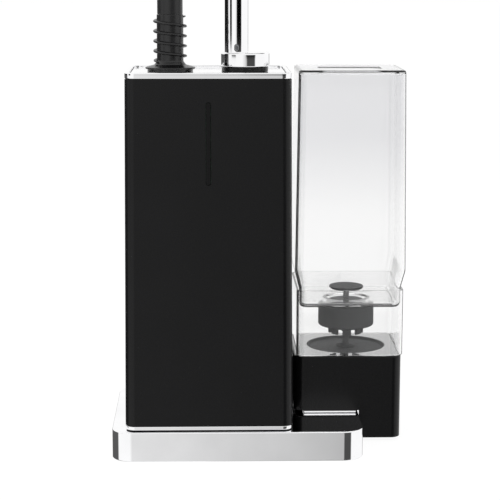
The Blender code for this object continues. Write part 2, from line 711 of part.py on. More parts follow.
def build_housing():
    """Housing shell between its two trim rings, with the top cover and control strip."""
    place = (BODY_X, BODY_Y)
    flat_solid("lower_trim_ring", [foot_outline(0), foot_outline(LOWER_TRIM_DEPTH)], LOWER_TRIM_BOTTOM,
               LOWER_TRIM_BOTTOM + LOWER_TRIM_HEIGHT, CHROME, place)
    housing = stacked("housing", [(*body_section(BODY_TOP_WIDTH, 0), HOUSING_TOP),
                                  (*body_section(BODY_WIDTH, 0), HOUSING_BOTTOM)], BLACK_PLASTIC, place)
    top_inside = body_section(BODY_TOP_WIDTH, BODY_WALL)
    foot_inside = body_section(BODY_WIDTH, BODY_WALL)
    cut(housing, stacked("housing_hollow", [
        (*top_inside, HOUSING_TOP + BODY_WALL), (*top_inside, HOUSING_TOP),
        (*foot_inside, HOUSING_BOTTOM), (*foot_inside, HOUSING_BOTTOM - BODY_WALL)], None, place))
    trim = flat_solid("upper_trim_ring", [top_outline(0), top_outline(UPPER_TRIM_DEPTH + LEDGE_DEPTH)],
                      UPPER_TRIM_BOTTOM, BODY_TOP, CHROME, place)
    cut(trim, flat_solid("trim_rebate", [top_outline(UPPER_TRIM_DEPTH)], UPPER_TRIM_BOTTOM + LEDGE_HEIGHT,
                         BODY_TOP + TOP_THICKNESS, None, place))
    hose_hole = circle(BOOT_BORE, (HOSE_X - BODY_X, HOSE_Y - BODY_Y))
    pole_hole = circle(SOCKET_RADIUS + SEAT, (POLE_X - BODY_X, POLE_Y - BODY_Y))
    flat_solid("top_cover", [top_outline(UPPER_TRIM_DEPTH + SEAT), hose_hole, pole_hole],
               TOP_COVER_BOTTOM, TOP_COVER_TOP, CHROME, place)

    strip_front = BODY_FRONT + STRIP_RECESS
    strip_back = BODY_FRONT + BODY_WALL + SEAT
    upright_capsule("control_strip", STRIP_WIDTH, STRIP_LENGTH, strip_front, strip_back, GLOSS_BLACK,
                    BODY_X, STRIP_MIDDLE)
    cut(housing, upright_capsule("strip_slot", STRIP_WIDTH + 2 * SEAT, STRIP_LENGTH + 2 * SEAT,
                                 BODY_FRONT - BODY_WALL, BODY_FRONT + 2 * BODY_WALL, None,
                                 BODY_X, STRIP_MIDDLE))
    cut(housing, block("inlet_cutout",
                       (INLET_X - INLET_WIDTH / 2 - SEAT, BODY_BACK - 2 * BODY_WALL,
                        INLET_LEVEL - INLET_HEIGHT / 2 - SEAT),
                       (INLET_X + INLET_WIDTH / 2 + SEAT, BODY_BACK + BODY_WALL,
                        INLET_LEVEL + INLET_HEIGHT / 2 + SEAT), None))
    return strip_back


# Inside the housing

def build_inside(plate, strip_back):
    """Chassis, boiler, pump, pipes, board and power inlet."""
    board_front = strip_back + SEAT
    board_back = board_front + BOARD_THICKNESS
    block("control_board",
          (BODY_X - BOARD_WIDTH / 2, board_front, STRIP_MIDDLE - BOARD_HEIGHT / 2),
          (BODY_X + BOARD_WIDTH / 2, board_back, STRIP_MIDDLE + BOARD_HEIGHT / 2), BOARD_GREEN)

    slab = foot_outline(LOWER_TRIM_DEPTH + SEAT)
    chassis = flat_solid("chassis", [slab], CHASSIS_BOTTOM, CHASSIS_TOP, STEEL, (BODY_X, BODY_Y))
    wall_front = max(board_back, BODY_FRONT + LOWER_TRIM_DEPTH) + SEAT
    join(chassis, block("chassis_wall",
                        (BODY_X - CHASSIS_WALL_WIDTH / 2, wall_front, CHASSIS_BOTTOM + CHASSIS_THICKNESS / 2),
                        (BODY_X + CHASSIS_WALL_WIDTH / 2, wall_front + CHASSIS_THICKNESS,
                         CHASSIS_TOP + CHASSIS_WALL_HEIGHT), None))
    stand = flat_solid("boiler_stand", [circle(STAND_RADIUS), circle(STAND_RADIUS - STAND_WALL)],
                       CHASSIS_BOTTOM + CHASSIS_THICKNESS / 2, CHASSIS_TOP + STAND_HEIGHT, None,
                       (BOILER_X, BODY_Y))
    join(chassis, stand)

    build_boiler()
    pump_place = (PUMP_X, BODY_Y)
    pump_shoulder = PUMP_TOP - PUMP_RADIUS / 2
    turned("pump", [
        (0, PUMP_TOP), (PUMP_RADIUS * 0.5, PUMP_TOP), (PUMP_RADIUS * 0.6, pump_shoulder),
        (PUMP_RADIUS, pump_shoulder), (PUMP_RADIUS, PUMP_BOTTOM), (0, PUMP_BOTTOM)],
        BLACK_PLASTIC, pump_place)
    well_hole = rod("feed_hole_dock", PIPE_RADIUS + SEAT, PIPE_LEVEL, DOCK_STEP, None, (FEED_X, DOCK_Y))
    pump_hole = rod("feed_hole_pump", PIPE_RADIUS + SEAT, PIPE_LEVEL, PUMP_BOTTOM, None, pump_place)
    cut(plate, well_hole, pump_hole)
    cut(chassis, pump_hole)
    feed = [Vector((TANK_X, DOCK_Y, DOCK_FLOOR - SEAT)), Vector((TANK_X, DOCK_Y, FEED_LEVEL)),
            Vector((FEED_X, DOCK_Y, FEED_LEVEL)), Vector((FEED_X, DOCK_Y, PIPE_LEVEL)),
            Vector((PUMP_X, BODY_Y, PIPE_LEVEL)), Vector((PUMP_X, BODY_Y, PUMP_BOTTOM - SEAT))]
    tube("feed_pipe", mitred(feed, 2 * PIPE_RADIUS), PIPE_RADIUS, RUBBER, 2)
    rise = PUMP_TOP + 6 * PIPE_RADIUS
    boiler_side = BOILER_X + BOILER_RADIUS + SEAT
    pressure = [Vector((PUMP_X, BODY_Y, PUMP_TOP + SEAT)), Vector((PUMP_X, BODY_Y, rise)),
                Vector((boiler_side, BODY_Y, rise))]
    tube("boiler_pipe", mitred(pressure, 2 * PIPE_RADIUS), PIPE_RADIUS, RUBBER, 2)
    steam = [Vector((BOILER_X, BODY_Y, LID_TOP + SEAT)),
             Vector((BOILER_X, BODY_Y, LID_TOP + 8 * PIPE_RADIUS)),
             Vector((HOSE_X, HOSE_Y, HOUSING_TOP - 12 * PIPE_RADIUS)),
             Vector((HOSE_X, HOSE_Y, BOOT_BOTTOM + BOOT_HEIGHT / 4))]
    tube("steam_pipe", smooth_path(steam, 8 * PIPE_RADIUS), STEAM_PIPE_RADIUS, RUBBER, 2)
    build_inlet()
    return well_hole


def mitred(points, radius):
    """Cut each corner of a route in two, so that a pipe bends in short steps."""
    path = [points[0]]
    for before, corner, after in zip(points, points[1:], points[2:]):
        path.append(corner + (before - corner).normalized() * radius)
        middle = (before - corner).normalized() + (after - corner).normalized()
        path.append(corner + middle * radius * (1 - math.sqrt(0.5)))
        path.append(corner + (after - corner).normalized() * radius)
    path.append(points[-1])
    return path


def build_boiler():
    """Boiler cup on its stand, with lid, heating element and thermostat."""
    place = (BOILER_X, BODY_Y)
    inner = BOILER_RADIUS - BOILER_WALL
    floor = BOILER_BOTTOM + BOILER_WALL
    turned("boiler", [(inner, BOILER_TOP), (BOILER_RADIUS, BOILER_TOP), (BOILER_RADIUS, BOILER_BOTTOM),
                      (0, BOILER_BOTTOM), (0, floor), (inner, floor)], ALUMINIUM, place, closed=True)
    lid = BOILER_RADIUS + LID_OVERHANG
    shoulder = LID_BOTTOM + LID_RIM
    turned("boiler_lid", [(0, LID_TOP), (lid * 0.7, LID_TOP), (lid * 0.85, shoulder), (lid, shoulder),
                          (lid, LID_BOTTOM), (0, LID_BOTTOM)], ALUMINIUM, place)
    level = floor + SEAT + ELEMENT_TUBE
    ring = []
    for i in range(ELEMENT_STEPS + 1):
        angle = math.radians(ELEMENT_GAP_DEG / 2 + (360 - ELEMENT_GAP_DEG) * i / ELEMENT_STEPS)
        ring.append(Vector((place[0] + ELEMENT_RADIUS * math.cos(angle),
                            place[1] + ELEMENT_RADIUS * math.sin(angle), level)))
    tube("heating_element", ring, ELEMENT_TUBE, STEEL, 2)
    turned("thermostat", [(0, LID_TOP + SEAT + THERMOSTAT_HEIGHT),
                          (THERMOSTAT_RADIUS, LID_TOP + SEAT + THERMOSTAT_HEIGHT),
                          (THERMOSTAT_RADIUS, LID_TOP + SEAT), (0, LID_TOP + SEAT)],
           STEEL, (BOILER_X + BOILER_RADIUS / 2, BODY_Y), steps=SMALL_STEPS)


def build_inlet():
    """Power inlet in the housing's back wall, open to the back."""
    flange = INLET_FLANGE
    low = (INLET_X - INLET_WIDTH / 2, BODY_BACK - INLET_DEPTH, INLET_LEVEL - INLET_HEIGHT / 2)
    high = (INLET_X + INLET_WIDTH / 2, BODY_BACK + SEAT + INLET_FLANGE_THICKNESS,
            INLET_LEVEL + INLET_HEIGHT / 2)
    inlet = block("power_inlet", low, high, BLACK_PLASTIC)
    join(inlet, block("inlet_flange",
                      (low[0] - flange, BODY_BACK + SEAT, low[2] - flange),
                      (high[0] + flange, high[1], high[2] + flange), None))
    cut(inlet, block("inlet_recess",
                     (low[0] + INLET_WALL, high[1] - INLET_RECESS, low[2] + INLET_WALL),
                     (high[0] - INLET_WALL, high[1] + INLET_WALL, high[2] - INLET_WALL), None))


# Hose, boot and kink guard

def build_hose():
    """Boot with its flange, helical kink guard, rising hose and hung coil."""
    seat_top = BOOT_BOTTOM + FLANGE_SEAT_HEIGHT
    rim_top = seat_top + FLANGE_RIM
    cone_top = rim_top + FLANGE_CONE
    turned("hose_boot", [
        (BOOT_RADIUS, BOOT_TOP), (BOOT_RADIUS, cone_top),
        (BOOT_RADIUS + FLANGE_CONE, cone_top - FLANGE_CONE / 3), (FLANGE_RADIUS, rim_top),
        (FLANGE_RADIUS, seat_top), (FLANGE_SEAT_RADIUS, seat_top),
        (FLANGE_SEAT_RADIUS, BOOT_BOTTOM), (BOOT_BORE, BOOT_BOTTOM), (BOOT_BORE, BOOT_TOP)],
        RUBBER, (HOSE_X, HOSE_Y), closed=True)

    radius = (BOOT_RADIUS + SEAT + GUARD_WIRE / 2) / math.cos(math.pi / GUARD_POINTS_PER_TURN)
    top = BOOT_TOP - GUARD_BELOW_TOP
    guard = []
    for i in range(round(GUARD_TURNS * GUARD_POINTS_PER_TURN) + 1):
        turn = i / GUARD_POINTS_PER_TURN
        angle = 2 * math.pi * (turn + 0.25)
        guard.append(Vector((HOSE_X + radius * math.sin(angle), HOSE_Y - radius * math.cos(angle),
                             top - GUARD_PITCH * turn)))
    tube("hose_kink_guard", guard, GUARD_WIRE / 2, RUBBER, 1)
    report_self_gap("hose_kink_guard", guard, GUARD_WIRE, GUARD_POINTS_PER_TURN)

    route = [Vector((HOSE_X, HOSE_Y, BOOT_TOP + SEAT))]
    for setback, level in zip(RISE_SETBACKS, RISE_LEVELS):
        route.append(Vector((HOSE_X, HOSE_Y + setback, level)))
    route.append(Vector((HOSE_X, COIL_FRONT_Y, COIL_START - SEAT)))
    tube("steam_hose", smooth_path(route, HOSE_DIAMETER), HOSE_RADIUS, RUBBER, 3)

    coil = [Vector((HOSE_X, COIL_FRONT_Y, COIL_START))]
    for i in range(COIL_TURNS * COIL_POINTS_PER_TURN + 1):
        turn = i / COIL_POINTS_PER_TURN
        angle = math.pi - 2 * math.pi * turn
        coil.append(Vector((COIL_X + COIL_RADIUS * math.cos(angle), COIL_FRONT_Y + COIL_PITCH * turn,
                            COIL_LEVEL + COIL_RADIUS * math.sin(angle))))
    coil.append(Vector((HOSE_X, COIL_BACK_Y, COIL_END)))
    tube("hose_coil", coil, HOSE_RADIUS, RUBBER, 1)
    report_self_gap("hose_coil", coil, HOSE_DIAMETER, COIL_POINTS_PER_TURN)


# Pole

def build_pole():
    """Socket, collar, telescopic tubes with their twist locks, and the lock button."""
    axis = (POLE_X, POLE_Y)
    socket_radius = COLLAR_RADIUS - SOCKET_RING_INSET
    socket = rod("pole_socket", socket_radius, SOCKET_RING_BOTTOM, SOCKET_RING_TOP, BLACK_PLASTIC,
                 (COLLAR_X, POLE_Y), steps=ROUND_STEPS)
    join(socket, rod("socket_tube", SOCKET_RADIUS, SOCKET_FLOOR_TOP - SOCKET_FLOOR,
                     SOCKET_RING_BOTTOM + SOCKET_RING_HEIGHT / 2, None, axis, steps=ROUND_STEPS))
    cut(socket, rod("socket_bore", SOCKET_BORE, SOCKET_FLOOR_TOP, COLLAR_TOP, None, axis, steps=ROUND_STEPS))
    collar = rod("pole_collar", COLLAR_RADIUS, COLLAR_BOTTOM, COLLAR_TOP, CHROME, (COLLAR_X, POLE_Y),
                 steps=ROUND_STEPS)
    round_edges(collar, COLLAR_EDGE, 3)
    cut(collar, rod("collar_bore", SOCKET_BORE, SOCKET_FLOOR_TOP, COLLAR_TOP + COLLAR_HEIGHT, None, axis,
                    steps=ROUND_STEPS))

    lower = pole_tube("pole_lower", POLE_RADIUS, SOCKET_FLOOR_TOP + SEAT, POLE_TOP)
    cut(lower, upright_capsule("button_hole", BUTTON_WIDTH + 2 * SEAT, BUTTON_HEIGHT + 2 * SEAT,
                               POLE_Y - 2 * POLE_RADIUS, POLE_Y - POLE_RADIUS / 2, None,
                               POLE_X, BUTTON_MIDDLE))
    upright_capsule("pole_lock_button", BUTTON_WIDTH, BUTTON_HEIGHT, BUTTON_TIP, BUTTON_BACK, STEEL,
                    POLE_X, BUTTON_MIDDLE)
    wire = BUTTON_SPRING_WIRE / 2
    spring_front = BUTTON_BACK + SEAT + wire
    spring_back = POLE_Y + POLE_RADIUS - POLE_WALL - SEAT - wire
    low = BUTTON_MIDDLE - BUTTON_SPRING_DROP
    bend = (spring_back - spring_front) / 2
    spring = [Vector((POLE_X, spring_front, BUTTON_MIDDLE))]
    for i in range(BUTTON_SPRING_STEPS + 1):
        angle = math.pi * i / BUTTON_SPRING_STEPS
        spring.append(Vector((POLE_X, spring_front + bend - bend * math.cos(angle),
                              low + bend - bend * math.sin(angle))))
    spring.append(Vector((POLE_X, spring_back, BUTTON_MIDDLE)))
    tube("lock_button_spring", spring, wire, STEEL, 1)

    pole_tube("pole_mid", MID_RADIUS, TUBE_STOP, MID_TOP)
    pole_tube("pole_upper", UPPER_RADIUS, TUBE_STOP + TUBE_SHOW, UPPER_TOP)
    lock_ring("lower_lock_ring", POLE_RADIUS, MID_RADIUS, POLE_TOP)
    lock_ring("mid_lock_ring", MID_RADIUS, UPPER_RADIUS, MID_TOP)
    spigot = UPPER_RADIUS - POLE_WALL - SEAT
    cap_low = UPPER_TOP + SEAT
    turned("pole_top_cap", [
        (0, cap_low + CAP_HEIGHT), (CAP_RADIUS * 0.6, cap_low + CAP_HEIGHT * 0.93),
        (CAP_RADIUS * 0.9, cap_low + CAP_HEIGHT * 0.7), (CAP_RADIUS, cap_low + CAP_HEIGHT * 0.4),
        (CAP_RADIUS, cap_low), (spigot, cap_low), (spigot, cap_low - CAP_SPIGOT),
        (0, cap_low - CAP_SPIGOT)], BLACK_PLASTIC, axis)


def pole_tube(name, radius, low, high):
    """One tube of the telescopic pole."""
    bore = radius - POLE_WALL
    return turned(name, [(radius, high), (radius, low), (bore, low), (bore, high)], CHROME,
                  (POLE_X, POLE_Y), closed=True)


def lock_ring(name, outer_tube, inner_tube, tube_top):
    """Twist-lock ring: a skirt round the outer tube and a lip over its end, round the inner tube."""
    bore = outer_tube + SEAT
    lip = inner_tube + SEAT
    outside = bore + RING_WALL
    low = tube_top - RING_SKIRT
    if outer_tube < POLE_RADIUS:
        low = POLE_TOP + SEAT + RING_LIP + SEAT
    shelf = tube_top + SEAT
    high = shelf + RING_LIP
    turned(name, [
        (outside - RING_EDGE, high), (outside, high - RING_EDGE), (outside, low + RING_EDGE),
        (outside - RING_EDGE, low), (bore, low), (bore, shelf), (lip, shelf), (lip, high)],
        BLACK_PLASTIC, (POLE_X, POLE_Y), closed=True)


# Coil saddle and head cradle

def build_carriers():
    """Saddle that the hose coil hangs on and cradle that the steam head rests in."""
    inner = SADDLE_RADIUS - SADDLE_THICKNESS
    first_turn = (180 - SADDLE_TO_DEG) / 360
    last_turn = COIL_TURNS - 1 + (180 - SADDLE_FROM_DEG) / 360
    front = COIL_FRONT_Y + COIL_PITCH * first_turn - HOSE_RADIUS - 2 * SEAT
    back = COIL_FRONT_Y + COIL_PITCH * last_turn + HOSE_RADIUS + 2 * SEAT
    saddle = arc_solid("hose_saddle", inner, SADDLE_RADIUS, front, back, BLACK_PLASTIC)
    lip = SADDLE_LIP_THICKNESS
    for name, start in (("saddle_lip_front", front - lip), ("saddle_lip_back", back)):
        join(saddle, arc_solid(name, inner + lip / 2, SADDLE_RADIUS + SADDLE_LIP, start - SEAT,
                               start + lip + SEAT, None, SADDLE_LIP_TRIM_DEG))
    end = math.radians(SADDLE_TO_DEG)
    bar_x = COIL_X + (SADDLE_RADIUS - SADDLE_THICKNESS / 2) * math.cos(end)
    bar_top = COIL_LEVEL + (SADDLE_RADIUS - SADDLE_THICKNESS) * math.sin(end) + SADDLE_THICKNESS / 3
    bar = block("saddle_bar", (bar_x - SADDLE_THICKNESS / 2, POLE_Y, bar_top - SADDLE_BAR_HEIGHT),
                (bar_x + 2 * SADDLE_THICKNESS, back + lip, bar_top), None)
    clamp = rod("saddle_clamp", CLAMP_RADIUS, bar_top - SADDLE_CLAMP_HEIGHT, bar_top - SEAT, None,
                (POLE_X, POLE_Y), steps=ROUND_STEPS)
    join(saddle, bar, clamp)
    cut(saddle, rod("saddle_bore", CLAMP_BORE, bar_top - 2 * SADDLE_CLAMP_HEIGHT,
                    bar_top + SADDLE_CLAMP_HEIGHT, None, (POLE_X, POLE_Y), steps=ROUND_STEPS))

    slot = NECK_RADIUS + SEAT
    cradle = rod("head_cradle", slot + FORK_WALL, CRADLE_LEVEL, CRADLE_TOP, BLACK_PLASTIC, (HEAD_X, HEAD_Y),
                 steps=ROUND_STEPS)
    ring = rod("cradle_clamp", CLAMP_RADIUS, CRADLE_LEVEL - SEAT, CRADLE_TOP - SEAT, None, (POLE_X, POLE_Y),
               steps=ROUND_STEPS)
    across = Vector((POLE_X - HEAD_X, POLE_Y - HEAD_Y, 0))
    arm = block("cradle_arm", (0, -CRADLE_ARM_WIDTH / 2, CRADLE_LEVEL + SEAT),
                (across.length, CRADLE_ARM_WIDTH / 2, CRADLE_TOP - 2 * SEAT), None)
    arm.rotation_euler.z = math.atan2(across.y, across.x)
    arm.location = (HEAD_X + across.x / 2, HEAD_Y + across.y / 2, (CRADLE_LEVEL + CRADLE_TOP) / 2)
    join(cradle, ring, arm)
    beyond = CRADLE_THICKNESS
    cut(cradle, rod("cradle_bore", CLAMP_BORE, CRADLE_LEVEL - beyond, CRADLE_TOP + beyond, None,
                    (POLE_X, POLE_Y), steps=ROUND_STEPS))
    cut(cradle, rod("fork_seat", slot, CRADLE_LEVEL - beyond, CRADLE_TOP + beyond, None, (HEAD_X, HEAD_Y),
                    steps=ROUND_STEPS))
    cut(cradle, block("fork_mouth", (HEAD_X - 2 * slot - FORK_WALL, HEAD_Y - slot, CRADLE_LEVEL - beyond),
                      (HEAD_X, HEAD_Y + slot, CRADLE_TOP + beyond), None))


def arc_solid(name, radius_in, radius_out, front, back, material, trim_deg=0.0):
    """An arched band under the coil's top, from a front to a back face."""
    band = arc_band(radius_in, radius_out, SADDLE_FROM_DEG + trim_deg, SADDLE_TO_DEG - trim_deg)
    obj = flat_solid(name, [band], front, back, material)
    obj.data.transform(Matrix.Rotation(math.pi / 2, 4, "X"))
    obj.location = (COIL_X, (front + back) / 2, COIL_LEVEL)
    return obj


# Steam head

def build_head():
    """Swivel, handle, head body, steam plate and trigger."""
    place = (HEAD_X, HEAD_Y)
    swivel_top = SWIVEL_BOTTOM + SWIVEL_HEIGHT
    waist = SWIVEL_HEIGHT / 4
    turned("hose_swivel", [
        (0, swivel_top), (SWIVEL_RADIUS * 0.9, swivel_top), (SWIVEL_RADIUS, swivel_top - waist),
        (SWIVEL_RADIUS, SWIVEL_BOTTOM + waist), (SWIVEL_RADIUS * 0.92, SWIVEL_BOTTOM), (0, SWIVEL_BOTTOM)],
        BLACK_PLASTIC, place)

    grip = HANDLE_TOP - HANDLE_BOTTOM
    neck_low = CRADLE_LEVEL - 2 * SEAT
    handle = turned("head_handle", [
        (0, HANDLE_TOP), (NECK_RADIUS, HANDLE_TOP), (NECK_RADIUS, neck_low),
        (HANDLE_RADIUS * 0.94, neck_low - NECK_RISE), (HANDLE_RADIUS, neck_low - 4 * NECK_RISE),
        (HANDLE_RADIUS, HANDLE_BOTTOM + grip * 0.16), (HANDLE_FOOT_RADIUS, HANDLE_BOTTOM),
        (0, HANDLE_BOTTOM)], BLACK_PLASTIC, place)
    trigger_front = HEAD_Y - HANDLE_RADIUS - TRIGGER_PROUD
    trigger_back = trigger_front + TRIGGER_LENGTH
    cut(handle, upright_capsule("trigger_pocket", TRIGGER_WIDTH + 2 * SEAT, TRIGGER_HEIGHT + 2 * SEAT,
                                trigger_front, trigger_back + TRIGGER_TRAVEL + SEAT, None,
                                HEAD_X, TRIGGER_LEVEL))
    upright_capsule("steam_trigger", TRIGGER_WIDTH, TRIGGER_HEIGHT, trigger_front, trigger_back,
                    GREY_PLASTIC, HEAD_X, TRIGGER_LEVEL)

    edge = HEAD_EDGE
    levels = (*rounded_top(edge, HEAD_TOP), (0, HEAD_BOTTOM + 2 * edge),
              (edge * 0.6, HEAD_BOTTOM + edge * 0.6), (2 * edge, HEAD_BOTTOM))
    head = stacked("head_body", [
        (HEAD_WIDTH - 2 * inset, HEAD_DEPTH - 2 * inset, HEAD_CORNER - inset, level)
        for inset, level in levels], BLACK_PLASTIC, place)
    margin = STEAM_PLATE_MARGIN
    recess = STEAM_PLATE_THICKNESS / 2
    plate_front = HEAD_FRONT - recess
    plate_back = HEAD_FRONT + recess
    plate_width = HEAD_WIDTH - 2 * (HEAD_CORNER + margin / 2)
    plate_height = HEAD_HEIGHT - 2 * (edge + margin)
    level = (HEAD_TOP + HEAD_BOTTOM) / 2
    cut(head, upright_plate("plate_seat", plate_width + 2 * SEAT, plate_height + 2 * SEAT,
                            plate_front - recess, plate_back + SEAT, None, level))
    plate = upright_plate("steam_plate", plate_width, plate_height, plate_front, plate_back, STEEL, level)
    for i in range(STEAM_HOLE_COUNT):
        x = HEAD_X + plate_width * ((i + 0.5) / STEAM_HOLE_COUNT - 0.5)
        cut(plate, rod(f"steam_hole_{i + 1}", STEAM_HOLE_RADIUS, plate_front - recess,
                       plate_back + recess, None, (x, level), axis="Y"))


def upright_plate(name, width, height, front, back, material, level):
    """A plate with round corners in X and Z, at the head's middle."""
    obj = flat_solid(name, [rounded_rectangle(width, height, height / 5)], front, back, material)
    obj.data.transform(Matrix.Rotation(math.pi / 2, 4, "X"))
    obj.location = (HEAD_X, (front + back) / 2, level)
    return obj


# Tank dock

def build_dock(feed_hole):
    """Dock beside the housing, its trim strip, well cup, valve pin, clear sleeve and feet."""
    place = (DOCK_X, DOCK_Y)
    outline = rounded_rectangle(DOCK_WIDTH, DOCK_DEPTH, DOCK_CORNER)
    dock = flat_solid("tank_dock", [outline], DOCK_BOTTOM, DOCK_TOP, BLACK_PLASTIC, place)
    hollow = rounded_rectangle(DOCK_WIDTH - 2 * DOCK_WALL, DOCK_DEPTH - 2 * DOCK_WALL,
                               DOCK_CORNER - DOCK_WALL)
    cut(dock, flat_solid("dock_hollow", [hollow], -DOCK_BOTTOM, DOCK_FLOOR, None, place))
    for number, y in enumerate((DOCK_Y - DOCK_DEPTH / 4, DOCK_Y + DOCK_DEPTH / 4), 1):
        join(dock, rod(f"foot_pad_{number}", DOCK_FOOT_RADIUS * DOCK_FOOT_PAD, DOCK_BOTTOM,
                       DOCK_FLOOR + WELL_DEPTH / 4, None, (DOCK_FOOT_X, y)))
        foot(f"dock_foot_{number}", DOCK_FOOT_RADIUS, DOCK_BOTTOM - SEAT, (DOCK_FOOT_X, y))
    cut(dock, block("dock_step", (DOCK_LEFT - DOCK_WALL, DOCK_Y - DOCK_DEPTH, -DOCK_BOTTOM),
                    (DOCK_OVERHANG_LEFT, DOCK_Y + DOCK_DEPTH, DOCK_STEP), None))
    axis = (TANK_X, DOCK_Y)
    cut(dock, rod("dock_well", WELL_RADIUS, WELL_FLOOR, DOCK_TOP + WELL_DEPTH, None, axis,
                  steps=ROUND_STEPS))
    drain = rod("well_drain", CUP_DRAIN, DOCK_FLOOR - WELL_DEPTH, CUP_FLOOR_TOP, None, axis)
    cut(dock, drain)

    trim_front = DOCK_BACK - DOCK_DEPTH + DOCK_TRIM_INSET
    trim = block("dock_trim", (DOCK_LEFT + DOCK_CORNER, trim_front, DOCK_TRIM_BOTTOM),
                 (PLATE_RIGHT - PLATE_EDGE, DOCK_BACK - PLATE_CORNER, DOCK_TRIM_BOTTOM + DOCK_TRIM_HEIGHT),
                 CHROME)
    cut(trim, feed_hole)

    rim = DOCK_TOP + SEAT
    cup_inner = CUP_RADIUS - CUP_WALL
    turned("well_cup", [
        (cup_inner, rim), (CUP_RADIUS, rim), (CUP_RADIUS, CUP_BOTTOM), (CUP_DRAIN, CUP_BOTTOM),
        (CUP_DRAIN, CUP_FLOOR_TOP), (cup_inner - CUP_WALL, CUP_FLOOR_TOP)],
        GREY_PLASTIC, axis, closed=True)
    pin_low = CUP_FLOOR_TOP + SEAT
    pin_top = STEM_BOTTOM - SEAT
    turned("valve_pin", [
        (0, pin_top), (PIN_RADIUS * 0.8, pin_top), (PIN_RADIUS, pin_top - PIN_RADIUS / 2),
        (PIN_RADIUS, pin_low + PIN_FOOT_HEIGHT), (PIN_FOOT_RADIUS, pin_low + PIN_FOOT_HEIGHT / 2),
        (PIN_FOOT_RADIUS, pin_low), (0, pin_low)], GREY_PLASTIC, axis, steps=SMALL_STEPS)
    outer = rounded_rectangle(SLEEVE_WIDTH, SLEEVE_DEPTH, SLEEVE_CORNER)
    inner = rounded_rectangle(SLEEVE_WIDTH - 2 * SLEEVE_WALL, SLEEVE_DEPTH - 2 * SLEEVE_WALL,
                              SLEEVE_CORNER - SLEEVE_WALL)
    flat_solid("dock_sleeve", [outer, inner], SLEEVE_BOTTOM, SLEEVE_TOP, CLEAR, axis)


# Water tank

def tank_section(inset, corner_inset):
    """Width, depth and corner of the tank's plan, drawn in by insets."""
    return TANK_WIDTH - 2 * inset, TANK_DEPTH - 2 * inset, TANK_CORNER - corner_inset


